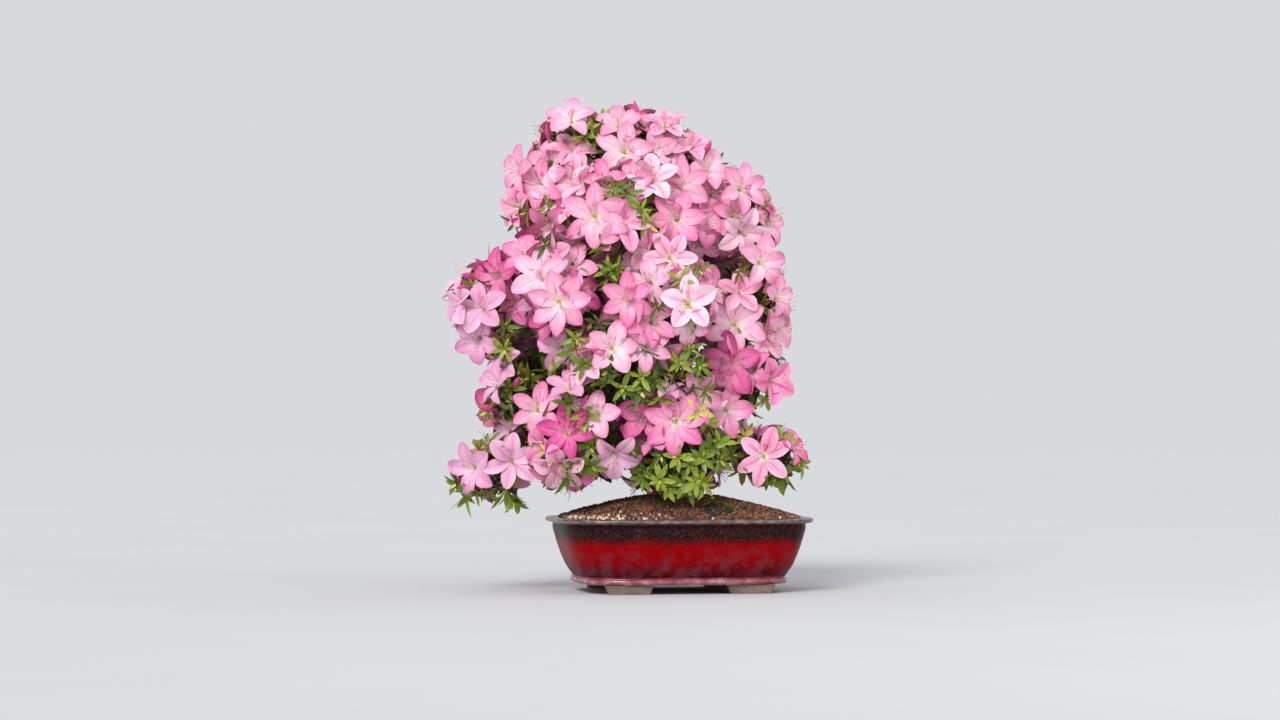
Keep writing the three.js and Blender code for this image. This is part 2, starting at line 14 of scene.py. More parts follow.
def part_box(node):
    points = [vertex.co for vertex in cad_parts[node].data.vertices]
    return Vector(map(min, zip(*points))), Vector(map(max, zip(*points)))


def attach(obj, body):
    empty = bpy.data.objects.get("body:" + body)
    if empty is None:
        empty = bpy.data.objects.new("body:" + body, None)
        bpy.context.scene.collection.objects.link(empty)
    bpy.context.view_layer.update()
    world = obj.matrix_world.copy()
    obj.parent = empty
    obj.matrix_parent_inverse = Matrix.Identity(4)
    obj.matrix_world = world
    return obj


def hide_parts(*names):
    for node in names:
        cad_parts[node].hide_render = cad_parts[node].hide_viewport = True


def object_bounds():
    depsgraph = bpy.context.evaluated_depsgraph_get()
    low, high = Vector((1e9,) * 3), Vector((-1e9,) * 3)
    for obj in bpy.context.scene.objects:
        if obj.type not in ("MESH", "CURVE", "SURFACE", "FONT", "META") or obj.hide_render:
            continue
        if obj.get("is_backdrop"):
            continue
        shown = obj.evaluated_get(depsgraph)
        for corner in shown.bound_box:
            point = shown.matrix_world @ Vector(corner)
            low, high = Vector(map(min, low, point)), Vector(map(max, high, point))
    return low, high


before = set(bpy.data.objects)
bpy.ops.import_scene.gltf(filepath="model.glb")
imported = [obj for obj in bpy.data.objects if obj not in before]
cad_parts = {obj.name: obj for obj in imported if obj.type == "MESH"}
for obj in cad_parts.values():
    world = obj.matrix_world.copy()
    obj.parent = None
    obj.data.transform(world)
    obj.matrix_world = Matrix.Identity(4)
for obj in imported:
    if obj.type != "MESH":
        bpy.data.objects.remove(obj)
cad_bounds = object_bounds()

RELIEF_SEED = 5
# Without a seed, noise_vector starts from the clock, and each run makes another relief
noise.seed_set(RELIEF_SEED)

MM = 0.001
FRONT_TURN = math.radians(-10)

# The pot, as in the solids: how far each level is drawn in from the rim's edge, and its height
POT_LENGTH = 298
POT_DEPTH = 236
OUTLINE_POWER = 4
UNDERSIDE = 10.5
FOOT_BAND = [(31, UNDERSIDE), (29.4, 10.9), (28, 12.5), (27.8, 14.4), (28.4, 16.4), (30.2, 18)]
BELLY = [(27.8, 22), (22.5, 30), (18.2, 40), (14.5, 50), (10.9, 62), (8, 73), (7.8, 78.6)]
LIP = [(3.4, 79.7), (0.9, 80.6), (0, 82.1), (0.1, 83.8), (1.1, 84.9), (3, 85.4), (6.4, 85.4), (8.6, 85.1)]
INNER_WALL = [(11.4, 84.7), (12.8, 84.2), (13.6, 83), (15.5, 76), (20, 50)]
GLAZE_HEIGHT = 92 * MM  # height to which the glaze's bands are drawn
WORN_LIP = [(0.0794, 0.0), (0.0808, 1.0)]  # heights in metres, and how much of the glaze is worn
# The foot band, by heights in metres: thin pink-mauve glaze, and pale patches on it that are painted
# highlights
THIN_AND_HIGHLIT_FOOT = [(0.0172, 1.0), (0.0186, 0.0)]
POT_SIDES = 240
FOOT_SIZE = (56, 20)
FOOT_PLACE = (70, 74)
FOOT_POWER = 9
FOOT_SIDES = 48
GAP = 0.3
FOOT_TOP = UNDERSIDE - GAP
FOOT_PROFILE = [
    (12, 0), (5.2, 0), (4, 0.8), (1.2, FOOT_TOP - 2), (0.2, FOOT_TOP - 0.8), (0.8, FOOT_TOP), (9, FOOT_TOP),
]

MOUND_EDGE_IN, MOUND_EDGE = 13.5, 84
SOIL_HALF = np.array([POT_LENGTH / 2 - MOUND_EDGE_IN, POT_DEPTH / 2 - MOUND_EDGE_IN])
MOUND_HEIGHT = 28.5
MOUND_FALL = 1.6
MOUND_FLAT = 0.3  # the share of the way out within which the mound is level
MOUND_SIDES = 160

# How far surfaces are uneven, and how many features they have to a millimetre
POT_RELIEF, FOOT_RELIEF, MOUND_RELIEF = (0.35, 0.02), (0.5, 0.2), (1.1, 0.09)

# The tree, as in the solids
TRUNK_PATH = [
    (-1, 0, -12), (1, 0, 22), (12, -4, 66), (3, 4, 122),
    (-26, 3, 176), (-47, -5, 232), (-56, 0, 288), (-62, 3, 338),
]
TRUNK_RADIUS = (17, 6)
TRUNK_FALL = 0.8
FLARE_OUT, FLARE_HEIGHT, FLARE_RIDGES, FLARE_RIDGE = 7, 22, 5, 3
BOUGH_RADIUS = (7.5, 3)
BOUGH_SHARE = 0.62
BOUGH_ARCH = 0.16
BOUGH_END = 0.55
TRUNK_SIDES, BOUGH_SIDES = 56, 18
TRUNK_BARK, BOUGH_BARK = 1.1, 0.55  # depth of the bark's ridges
SPINE_RADIUS = (3.2, 1.6)
SPINE_REACH = 0.45
MASS_POWER = 2.7
COVERED = 0.86
FILLING = 13  # the more, the deeper the valleys between masses
CROWN_REACH = 1.09
SEED = 4
GOLDEN_ANGLE = math.pi * (3 - math.sqrt(5))

# Masses of foliage, as in the solids: centre, half sizes, share of shoots in flower, height over the
# soil at which the bough leaves the trunk (none: on the trunk's tip)
MASSES = {
    "top_left": ((-128, 2, 498), (66, 58, 60), 0.9, 300),
    "top_right": ((-30, -8, 496), (76, 60, 62), 0.95, None),
    "top_back": ((-66, 80, 474), (68, 56, 60), 0.9, 312),
    "crown_left": ((-144, -8, 444), (52, 58, 50), 0.95, 268),
    "crown_front": ((-62, -80, 431), (66, 52, 62), 0.95, 250),
    "crown_right": ((50, -6, 437), (72, 62, 62), 0.95, 282),
    "left_arm": ((-214, -6, 338), (62, 56, 56), 0.95, 176),
    "middle_front_left": ((-122, -86, 350), (60, 50, 60), 0.9, 196),
    "middle_front_right": ((-22, -98, 324), (60, 50, 62), 0.85, 160),
    "middle_right": ((76, -10, 340), (64, 64, 64), 0.95, 204),
    "middle_back_left": ((-136, 84, 360), (68, 60, 66), 0.9, 222),
    "middle_back_right": ((14, 92, 364), (70, 60, 66), 0.9, 212),
    "lower_left": ((-182, -12, 246), (58, 58, 62), 0.75, 112),
    "lower_front": ((-84, -88, 256), (66, 52, 62), 0.65, 98),
    "lower_middle": ((-4, -80, 234), (48, 50, 44), 0.85, 104),
    "lower_right": ((76, -14, 246), (60, 64, 60), 0.85, 124),
    "lower_back": ((-62, 96, 248), (80, 60, 64), 0.8, 136),
    "bottom_left": ((-208, -4, 149), (64, 64, 51), 0.8, 62),
    "bottom_middle": ((-112, -64, 166), (62, 56, 60), 0.75, 80),
    "bottom_front": ((-4, -64, 154), (60, 46, 48), 0.2, 32),
    "bottom_right": ((102, -8, 156), (50, 56, 48), 0.85, 48),
    "bottom_back": ((-10, 84, 160), (92, 56, 52), 0.75, 42),
}
ZONES = {
    "top": ["top_left", "top_right", "top_back", "crown_left", "crown_front", "crown_right"],
    "middle": ["left_arm", "middle_front_left", "middle_front_right", "middle_right",
               "middle_back_left", "middle_back_right"],
    "lower": ["lower_left", "lower_front", "lower_middle", "lower_right", "lower_back"],
    "bottom": ["bottom_left", "bottom_middle", "bottom_front", "bottom_right", "bottom_back"],
}
LOWEST = 91  # height that no foliage goes below

# Camera, in the tree's frame, and what it looks at
CAMERA_AT = np.array([-44, -3260, 177.7])
CAMERA_AIM = np.array([-44, 0, 267.2])
CAMERA_LENS = 79

# The front view's grid: steps to the right and down from its upper left corner, at the plant's middle
STEP = 1.16
CORNER = (-786.4, 684.8)  # across and high

# The crown's outline on that grid, from the notch over the left arm clockwise
OUTLINE = np.array([
    (502, 219), (507, 200), (511, 186), (507, 166), (515, 151), (531, 146), (537, 134), (543, 121),
    (549, 115), (557, 101), (571, 97), (584, 101), (597, 105), (613, 105), (632, 101), (648, 103),
    (661, 104), (673, 106), (680, 115), (686, 128), (695, 123), (699, 139), (712, 137), (722, 147),
    (728, 157), (739, 158), (735, 168), (748, 166), (754, 177), (765, 179), (768, 194), (775, 205),
    (777, 221), (783, 245), (787, 256), (785, 270), (791, 296), (787, 308), (796, 318), (795, 328),
    (790, 340), (785, 352), (789, 367), (786, 381), (790, 392), (778, 401), (777, 409), (763, 406),
    (752, 402), (754, 414), (747, 423), (757, 421), (768, 424), (785, 422), (791, 434), (803, 425),
    (806, 456), (813, 465), (801, 470), (795, 479), (784, 490), (768, 491), (754, 487), (746, 472),
    (736, 477), (724, 479), (713, 493), (703, 498), (655, 498), (640, 490), (632, 483), (641, 468),
    (629, 480), (611, 484), (599, 481), (590, 489), (580, 492), (574, 481), (568, 498), (550, 494),
    (542, 484), (537, 470), (531, 485), (519, 490), (518, 518), (504, 513), (499, 500), (486, 503),
    (463, 513), (455, 506), (457, 496), (440, 487), (449, 480), (446, 465), (459, 457), (460, 443),
    (478, 450), (488, 444), (480, 426), (470, 419), (469, 405), (487, 402), (477, 394), (477, 383),
    (484, 378), (483, 367), (491, 360), (484, 357), (469, 356), (465, 344), (459, 337), (455, 318),
    (441, 303), (441, 292), (449, 286), (457, 286), (457, 273), (464, 264), (479, 267), (482, 252),
    (489, 244), (503, 243), (517, 243), (523, 237), (533, 241), (525, 225), (514, 236), (503, 240),
], float)

# Flowers that the front view shows, the nearest first: place on the grid, reach in steps, how far
# they are turned right and up, where the first petal points, clockwise from up, petals and tint
SHOWN = [
    (595, 216, 34, 0, 0, 0, 6, "shell"), (559, 302, 32, 0, -5, 30, 7, "shell"),
    (735, 324, 33, 5, 0, 0, 6, "blush"), (731, 363, 34, -10, -5, 0, 5, "pink"),
    (676, 422, 34, 0, -5, 30, 7, "rose"), (764, 457, 30, 0, 0, 10, 6, "rose"),
    (511, 461, 30, 0, 0, 10, 6, "mauve"), (628, 299, 27, 0, 0, 0, 6, "rose"),
    (540, 276, 32, -5, 15, 0, 6, "blush"), (566, 433, 29, -5, 10, -15, 6, "hot"),
    (624, 150, 30, 0, 10, 10, 5, "blush"), (681, 186, 32, 5, 5, 0, 6, "shell"),
    (537, 410, 28, -5, 10, 5, 6, "shell"), (689, 303, 30, 5, 5, 0, 5, "blush"),
    (612, 348, 27, 10, 0, -60, 5, "blush"), (677, 218, 30, 0, 0, 20, 6, "rose"),
    (646, 346, 27, 0, -5, 60, 6, "shell"), (741, 188, 28, 25, 10, 10, 6, "shell"),
    (571, 120, 26, -5, 35, 0, 5, "blush"), (646, 415, 29, -5, 5, 5, 5, "pink"),
    (726, 410, 28, 5, -5, 90, 5, "rose"), (614, 454, 28, 5, -40, 180, 5, "mauve"),
    (560, 465, 29, -5, -40, 200, 5, "shell"), (473, 468, 28, -25, -10, -20, 5, "mauve"),
    (482, 308, 27, -20, 10, -10, 5, "mauve"), (761, 262, 28, 35, 5, 80, 5, "shell"),
    (670, 257, 28, 5, 0, 30, 6, "shell"), (742, 230, 27, 20, -20, 160, 5, "blush"),
    (707, 170, 28, 25, 35, 30, 5, "blush"), (652, 151, 27, 5, 5, 0, 5, "shell"),
    (597, 415, 26, -15, 5, 10, 5, "blush"), (771, 381, 27, 40, 0, -30, 5, "pink"),
    (622, 222, 28, 15, 5, 15, 5, "rose"), (649, 248, 25, 0, -5, 0, 5, "rose"),
    (652, 321, 28, 5, 15, 0, 6, "rose"), (577, 291, 27, 35, 5, 60, 5, "pink"),
    (478, 338, 26, -20, -15, 180, 5, "mauve"), (498, 275, 29, -40, 5, 0, 5, "pink"),
    (571, 267, 27, 0, 10, 20, 5, "shell"), (572, 178, 27, -10, 5, 0, 5, "shell"),
    (648, 282, 24, -10, 5, 0, 5, "blush"), (765, 335, 28, 40, 0, 0, 5, "shell"),
    (706, 222, 26, 10, 5, 40, 5, "rose"), (735, 215, 26, 20, 10, 0, 5, "shell"),
    (512, 301, 26, -30, -10, 0, 5, "pink"), (549, 222, 25, -10, -40, 180, 5, "rose"),
    (521, 170, 26, -50, 5, 20, 5, "shell"), (549, 160, 25, -25, 10, 0, 5, "shell"),
    (552, 196, 25, -20, 10, 0, 5, "blush"), (602, 182, 26, 0, 20, 0, 5, "rose"),
    (652, 178, 28, 0, 20, 0, 5, "blush"), (631, 180, 24, -5, 0, 0, 5, "rose"),
    (712, 192, 25, 15, 10, 0, 5, "rose"), (668, 150, 26, 5, 20, 0, 5, "shell"),
    (618, 124, 24, 0, 35, 0, 5, "shell"), (665, 124, 24, 5, 45, 0, 5, "rose"),
    (640, 124, 22, 0, 40, 0, 5, "rose"), (690, 145, 24, 20, 40, 20, 5, "rose"),
    (518, 205, 25, -55, 0, 0, 5, "rose"), (757, 198, 24, 50, 20, 0, 5, "rose"),
    (767, 222, 24, 55, 5, 0, 5, "shell"), (675, 288, 25, 0, -15, 180, 5, "blush"),
    (721, 238, 25, 5, -45, 180, 5, "rose"), (740, 292, 24, 0, 20, 0, 5, "rose"),
    (713, 290, 24, 10, 10, 0, 5, "rose"), (775, 298, 25, 55, 5, 0, 5, "shell"),
    (777, 328, 24, 60, -5, 0, 5, "shell"), (688, 322, 23, 0, -30, 180, 5, "blush"),
    (461, 302, 24, -60, 0, 0, 5, "mauve"), (525, 256, 26, -20, 35, 0, 5, "rose"),
    (500, 384, 25, -60, 10, 0, 5, "mauve"), (510, 430, 25, -55, 25, 0, 5, "mauve"),
    (570, 390, 24, -10, 50, 0, 5, "mauve"), (719, 386, 24, -10, -50, 180, 5, "shell"),
    (792, 449, 22, 60, 25, 0, 5, "pink"), (668, 394, 18, 0, 60, 0, 5, "mauve"),
]
BURIED = [(560, 346, 25, -10, -10, 0, 5, "mauve"), (607, 252, 22, 0, -10, 30, 5, "pink")]
BURIED_DEPTH = 34  # how far behind the crown's surface

# Buds, and whorls of leaves, that the front view shows: place, turn right and up; tint of the leaves
SHOWN_BUDS = [
    (470, 276, -50, 20), (463, 287, -65, -10), (490, 408, -60, 15), (583, 402, 30, 50), (547, 132, -15, 60),
    (708, 148, 25, 45), (637, 112, -10, 65), (755, 430, 15, 50), (515, 385, 10, 40), (480, 262, -30, 40),
]
SHOWN_WHORLS = [
    (592, 124, 0, 25, 3), (582, 134, -20, 10, 2), (603, 113, 10, 50, 2), (600, 134, 10, -10, 1),
    (613, 188, 0, 0, 1), (629, 192, 20, 10, 1), (643, 207, 20, 10, 2), (649, 224, 40, -20, 3),
    (523, 214, -40, -20, 4), (512, 226, -40, -40, 1), (550, 208, 0, 0, 2), (762, 207, 30, 0, 1),
    (755, 254, 20, -10, 1), (743, 272, 30, -10, 4), (545, 244, 0, 0, 0), (606, 268, -20, 10, 2),
    (618, 268, 20, 0, 1), (608, 282, 0, -40, 1), (680, 277, -10, 20, 2), (700, 268, 10, 10, 1),
    (503, 326, -10, 0, 1), (502, 350, -20, -10, 2), (576, 337, -10, 10, 2), (573, 353, 0, -10, 1),
    (584, 368, 10, -20, 1), (600, 322, 10, 10, 0), (657, 306, 0, 0, 0), (694, 312, 0, 0, 3),
    (700, 322, 30, -10, 1), (679, 362, 0, 0, 2), (692, 348, 10, 10, 1), (702, 366, 10, -10, 1),
    (713, 352, 20, 0, 0), (640, 378, -10, -10, 2), (655, 384, 10, -20, 1), (623, 388, 0, 0, 1),
    (608, 374, 0, -20, 0), (640, 392, 0, -10, 0), (745, 338, 20, -10, 2), (507, 388, -20, 10, 1),
    (492, 398, -40, 0, 4), (482, 413, -50, -10, 4), (567, 402, 0, 10, 1), (510, 402, -10, 0, 0),
    (522, 420, -10, -10, 1), (585, 415, -10, 10, 2), (582, 440, 0, 0, 1), (595, 430, 30, 0, 2),
    (590, 450, 0, -20, 1), (592, 470, 10, -30, 1), (578, 472, -10, -50, 1), (550, 452, -10, 0, 3),
    (486, 440, -30, 30, 1), (477, 448, -30, 20, 4), (699, 412, 10, 0, 3), (706, 420, 20, 0, 2),
    (768, 402, 40, -40, 2), (786, 434, 30, 40, 2), (745, 434, 0, 30, 3), (712, 447, 10, 10, 1),
    (722, 441, 20, 10, 2), (702, 458, 0, 0, 1), (722, 462, 20, -20, 1), (735, 455, 30, 0, 1),
    (660, 456, -10, 0, 0), (678, 456, 0, 10, 2), (690, 466, 0, -10, 2), (645, 470, -10, 0, 0),
    (640, 480, -30, -20, 1), (660, 480, 0, 0, 2), (667, 490, 0, -20, 2), (683, 484, 0, 0, 1),
    (697, 482, 10, 0, 2), (707, 487, 30, -20, 2), (690, 492, 0, -30, 1), (805, 463, 50, -10, 2),
    (779, 478, 10, -60, 2), (768, 478, -10, -60, 1), (795, 470, 30, -40, 1), (452, 484, -50, -20, 1),
    (462, 497, -40, -50, 1), (474, 494, -10, -60, 1), (488, 495, 0, -50, 4), (506, 496, -5, -65, 2),
    (515, 501, 20, -70, 1), (452, 486, -60, -30, 1), (464, 501, -30, -60, 2), (509, 499, 0, -80, 1),
    (517, 503, 10, -80, 2), (568, 480, 10, -60, 1), (743, 470, 10, -60, 4), (784, 478, 0, -70, 1),
]


# Placing and building


def turned(points, angle):
    """Points turned about the upright line."""
    c, s = math.cos(angle), math.sin(angle)
    return np.asarray(points, float) @ np.array([[c, s, 0], [-s, c, 0], [0, 0, 1]])


def pot_middle():
    low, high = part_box("pot")
    return np.array([(low.x + high.x) / 2, (low.y + high.y) / 2, 0])


POT_MIDDLE = pot_middle()


def from_pot(points):
    """Metres in the row's frame, of millimetres from the pot's middle."""
    return np.asarray(points, float) * MM + POT_MIDDLE


def from_tree(points):
    return from_pot(turned(points, FRONT_TURN))


def grid_faces(rows, columns, closed=False):
    """Quads over rows of points. Closed joins each row's ends."""
    across = columns if closed else columns - 1
    r, c = np.meshgrid(np.arange(rows - 1), np.arange(across), indexing="ij")
    after = (c + 1) % columns
    corners = [r * columns + c, r * columns + after, (r + 1) * columns + after, (r + 1) * columns + c]
    return np.stack(corners, -1).reshape(-1, 4)


def put(name, data, place=(0, 0, 0), ahead=None):
    """An object in the scene, turned so that it looks ahead."""
    made = bpy.data.objects.new(name, data)
    made.location = place
    if ahead is not None:
        made.rotation_euler = Vector(ahead).to_track_quat("-Z", "Y").to_euler()
    bpy.context.scene.collection.objects.link(made)
    return made


def mesh_of(name, points, faces, materials, slots=0, smooth=True):
    """An object of points in metres and faces of equally many corners."""
    mesh = bpy.data.meshes.new(name)
    count, corners = faces.shape
    mesh.vertices.add(len(points))
    mesh.vertices.foreach_set("co", np.asarray(points, np.float32).ravel())
    mesh.loops.add(count * corners)
    mesh.loops.foreach_set("vertex_index", np.asarray(faces, np.int32).ravel())
    mesh.polygons.add(count)
    mesh.polygons.foreach_set("loop_start", np.arange(0, count * corners, corners, dtype=np.int32))
    for material in materials:
        mesh.materials.append(material)
    mesh.polygons.foreach_set("material_index", np.broadcast_to(slots, count).astype(np.int32))
    mesh.polygons.foreach_set("use_smooth", np.full(count, smooth))
    mesh.update(calc_edges=True)
    mesh.validate()
    return put(name, mesh)


def dress(made, slot, *nodes):
    """The piece takes the place of CAD nodes and rides with them."""
    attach(made, "root")
    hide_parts(*nodes)


class Heap:
    """Many small things, joined as one mesh."""

    def __init__(self):
        self.points, self.faces, self.slots, self.count = [], [], [], 0

    def add(self, points, faces, slots=0):
        points = np.reshape(points, (-1, 3))
        self.points.append(points)
        self.faces.append(faces + self.count)
        self.slots.append(np.broadcast_to(slots, len(faces)))
        self.count += len(points)

    def piece(self, name, materials, place):
        points, faces = np.concatenate(self.points), np.concatenate(self.faces)
        return mesh_of(name, place(points), faces, materials, np.concatenate(self.slots))


def unit(v):
    v = np.asarray(v, float)
    return v / np.linalg.norm(v)


def upright_on(axis, roll=0.0):
    """Three rows: two sideways directions and the axis."""
    axis = unit(axis)
    helper = np.array([0.0, 0.0, 1.0]) if abs(axis[2]) < 0.9 else np.array([0.0, 1.0, 0.0])
    side = unit(np.cross(helper, axis))
    over = np.cross(axis, side)
    c, s = math.cos(roll), math.sin(roll)
    return np.array([c * side + s * over, c * over - s * side, axis])


def tube(path, radii, sides, relief=None):
    """Rings along a path. relief(points, out) moves the points of the skin."""
    path = np.asarray(path, float)
    tangents = np.gradient(path, axis=0)
    tangents /= np.linalg.norm(tangents, axis=1)[:, None]
    side = upright_on(tangents[0])[0]
    angles = np.arange(sides) * 2 * math.pi / sides
    rings, outs = [], []
    for point, tangent, radius in zip(path, tangents, radii):
        side = unit(side - tangent * side.dot(tangent))
        out = np.cos(angles)[:, None] * side + np.sin(angles)[:, None] * np.cross(tangent, side)
        size = radius(angles) if callable(radius) else radius
        rings.append(point + out * np.reshape(size, (-1, 1)))
        outs.append(out)
    rings, outs = np.concatenate(rings), np.concatenate(outs)
    if relief:
        rings = rings + outs * relief(rings)[:, None]
    return rings, grid_faces(len(path), sides, closed=True)


def arc_shares(path):
    steps = np.linalg.norm(np.diff(path, axis=0), axis=1)
    along = np.concatenate([[0], np.cumsum(steps)])
    return along / along[-1], along[-1]


def evenly(path, count):
    """The same path with points at equal steps."""
    shares, _ = arc_shares(path)
    wanted = np.linspace(0, 1, count)
    return np.stack([np.interp(wanted, shares, path[:, k]) for k in range(path.shape[1])], -1)


def bezier(corners, count):
    corners = np.asarray(corners, float)
    t = np.linspace(0, 1, count)[:, None]
    power = len(corners) - 1
    return sum(math.comb(power, i) * (1 - t) ** (power - i) * t**i * c for i, c in enumerate(corners))


def numbers_from(seed):
    """Seeded numbers from 0 to 1, as the solids draw them."""
    word = 0xFFFFFFFF
    state = (seed + 100000 * SEED) & word

    def draw():
        nonlocal state
        state = (state + 0x6D2B79F5) & word
        mixed = ((state ^ (state >> 15)) * (state | 1)) & word
        mixed ^= (mixed + (mixed ^ (mixed >> 7)) * (mixed | 61)) & word
        return (mixed ^ (mixed >> 14)) / 2**32

    return draw


# Materials


def srgb(text):
    """Linear colour of an sRGB one written as six hex digits."""
    shares = [int(text[i:i + 2], 16) / 255 for i in (0, 2, 4)]
    return [s / 12.92 if s < 0.04045 else ((s + 0.055) / 1.055) ** 2.4 for s in shares] + [1]


class Finish:
    """A material and short ways to add nodes to it."""

    def __init__(self, name, roughness=0.5):
        self.material = bpy.data.materials.new(name)
        self.material.use_nodes = True
        self.tree = self.material.node_tree
        self.shader = next(n for n in self.tree.nodes if n.type == "BSDF_PRINCIPLED")
        self.shader.inputs["Roughness"].default_value = roughness

    def node(self, kind, **settings):
        made = self.tree.nodes.new("ShaderNode" + kind)
        for name, value in settings.items():
            setattr(made, name, value)
        return made

    def feed(self, socket, value):
        """Link an output to a socket, or set the socket to a number or a colour."""
        if isinstance(value, bpy.types.NodeSocket):
            self.tree.links.new(value, socket)
        else:
            socket.default_value = srgb(value) if isinstance(value, str) else value

    def place(self):
        return self.node("TexCoord").outputs["Object"]

    def noise(self, scale, detail=4, stretch=(1, 1, 1), distortion=0.0):
        """A noise from 0 to 1, with so many features to a metre."""
        mapping = self.node("Mapping")
        mapping.inputs["Scale"].default_value = stretch
        self.feed(mapping.inputs["Vector"], self.place())
        made = self.node("TexNoise")
        made.inputs["Scale"].default_value = scale
        made.inputs["Detail"].default_value = detail
        made.inputs["Distortion"].default_value = distortion
        self.feed(made.inputs["Vector"], mapping.outputs["Vector"])
        return made.outputs["Fac"]

    def ramp(self, value, stops):
        """Colours by value. stops are (value, colour)."""
        made = self.node("ValToRGB")
        elements = made.color_ramp.elements
        while len(elements) < len(stops):
            elements.new(1)
        for element, (at, colour) in zip(elements, stops):
            element.position = at
            element.color = srgb(colour) if isinstance(colour, str) else (colour, colour, colour, 1)
        self.feed(made.inputs["Fac"], value)
        return made.outputs["Color"]

    def math(self, operation, a, b):
        made = self.node("Math", operation=operation)
        self.feed(made.inputs[0], a)
        self.feed(made.inputs[1], b)
        return made.outputs["Value"]

    def mix(self, share, a, b):
        """Colour a, covered by colour b as far as the share says."""
        made = self.node("Mix", data_type="RGBA")
        colours = [socket for socket in made.inputs if socket.type == "RGBA"]
        for socket, value in zip((made.inputs["Factor"], *colours), (share, a, b)):
            self.feed(socket, value)
        return next(socket for socket in made.outputs if socket.type == "RGBA")

    def colour(self, value):
        self.feed(self.shader.inputs["Base Color"], value)
        return self

    def rough(self, value, low, high):
        made = self.node("MapRange")
        made.inputs["To Min"].default_value = low
        made.inputs["To Max"].default_value = high
        self.feed(made.inputs["Value"], value)
        self.feed(self.shader.inputs["Roughness"], made.outputs["Result"])
        return self

    def bump(self, height, depth):
        """Relief of that many millimetres."""
        made = self.node("Bump")
        made.inputs["Distance"].default_value = depth * MM
        self.feed(made.inputs["Height"], height)
        self.feed(self.shader.inputs["Normal"], made.outputs["Normal"])
        return self

    def set(self, **values):
        for name, value in values.items():
            self.shader.inputs[name.replace("_", " ")].default_value = value
        return self


def glaze_level(finish, height, cloudy):
    """Height as a share of the pot's, moved up and down by clouds and by runs in the glaze."""
    level = finish.math("MULTIPLY", height, 1 / GLAZE_HEIGHT)
    runs = finish.noise(150, 3, (1, 1, 0.22))
    for drift, depth in ((cloudy, 0.16), (runs, 0.07)):
        drift = finish.math("MULTIPLY", finish.math("SUBTRACT", drift, 0.5), depth)
        level = finish.math("ADD", level, drift)
    return level


def glaze_material(name, shine, roughness):
    """Red glaze with dark and violet bands, worn thin on the lip and the foot band; the band's pale patches
    are painted highlights.
    """
    finish = Finish(name)
    split = finish.node("SeparateXYZ")
    finish.feed(split.inputs["Vector"], finish.place())
    height = split.outputs["Z"]
    cloudy = finish.noise(38, 5, (1, 1, 1.6), 0.4)
    fine = finish.noise(420, 6)
    level = glaze_level(finish, height, cloudy)
    tone = finish.ramp(level, [
        (0.10, "7a3340"), (0.175, "6e2632"), (0.22, "420a10"), (0.31, "6a0710"), (0.42, "8a0106"),
        (0.6, "8c0105"), (0.66, "5c0408"), (0.71, "260c0c"), (0.8, "1d1011"), (0.85, "3a0305"),
    ])
    veil = finish.ramp(finish.noise(70, 9, (1, 1, 0.9), 0.15), [(0.44, 0.0), (0.62, 0.7)])
    low = finish.ramp(level, [(0.3, 1.0), (0.6, 0.1)])
    tone = finish.mix(finish.math("MULTIPLY", veil, low), tone, "6e3440")
    flecks = finish.ramp(finish.noise(430, 6, (1, 1, 0.6)), [(0.46, 0.0), (0.72, 0.55)])
    high = finish.ramp(level, [(0.62, 0.0), (0.7, 1.0)])
    tone = finish.mix(finish.math("MULTIPLY", flecks, high), tone, "50403c")
    tone = finish.mix(finish.ramp(fine, [(0.6, 0.0), (0.76, 0.3)]), tone, "7f5a5a")
    worn = finish.ramp(finish.noise(120, 6, (1, 1, 3)), [(0.35, "3a2a25"), (0.5, "5c4a42"), (0.7, "8a7a72")])
    tone = finish.mix(finish.ramp(height, WORN_LIP), tone, worn)
    # The foot band: thin pink-mauve glaze, and its palest tone is a painted highlight
    thin_and_highlight = finish.ramp(finish.noise(60, 5), [(0.42, "7c2434"), (0.56, "934a58"), (0.7, "b79a98")])
    tone = finish.mix(finish.ramp(height, THIN_AND_HIGHLIT_FOOT), tone, thin_and_highlight)
    finish.colour(tone).rough(fine, *roughness)
    finish.bump(finish.math("ADD", cloudy, finish.math("MULTIPLY", fine, 0.25)), 0.7)
    return finish.set(Specular_IOR_Level=shine).material


def clay_material():
    finish = Finish("bare_clay")
    grain = finish.noise(900, 6)
    stain = finish.noise(60, 4)
    tone = finish.ramp(grain, [(0.3, "5c4c44"), (0.5, "84736a"), (0.7, "ab9c90")])
    tone = finish.mix(finish.ramp(stain, [(0.4, 0.0), (0.75, 0.6)]), tone, "5c463c")
    return finish.colour(tone).rough(grain, 0.75, 0.95).bump(grain, 0.8).material


def soil_material():
    finish = Finish("soil_ground")
    grain = finish.noise(520, 6)
    damp = finish.noise(30, 4)
    tone = finish.ramp(grain, [(0.3, "3c251c"), (0.5, "634033"), (0.7, "86604f")])
    tone = finish.mix(finish.ramp(damp, [(0.45, 0.0), (0.62, 0.6)]), tone, "4a4a22")
    return finish.colour(tone).rough(grain, 0.85, 1.0).bump(grain, 1.2).material


def bark_material():
    finish = Finish("bark")
    plates = finish.noise(160, 7, (1, 1, 0.28), 0.8)
    fine = finish.noise(700, 6)
    tone = finish.ramp(plates, [(0.32, "2e2119"), (0.48, "5b4636"), (0.62, "80664f"), (0.78, "9c8873")])
    tone = finish.mix(finish.ramp(fine, [(0.5, 0.0), (0.8, 0.35)]), tone, "a89783")
    height = finish.math("ADD", plates, finish.math("MULTIPLY", fine, 0.3))
    return finish.colour(tone).rough(fine, 0.75, 0.95).bump(height, 1.6).material


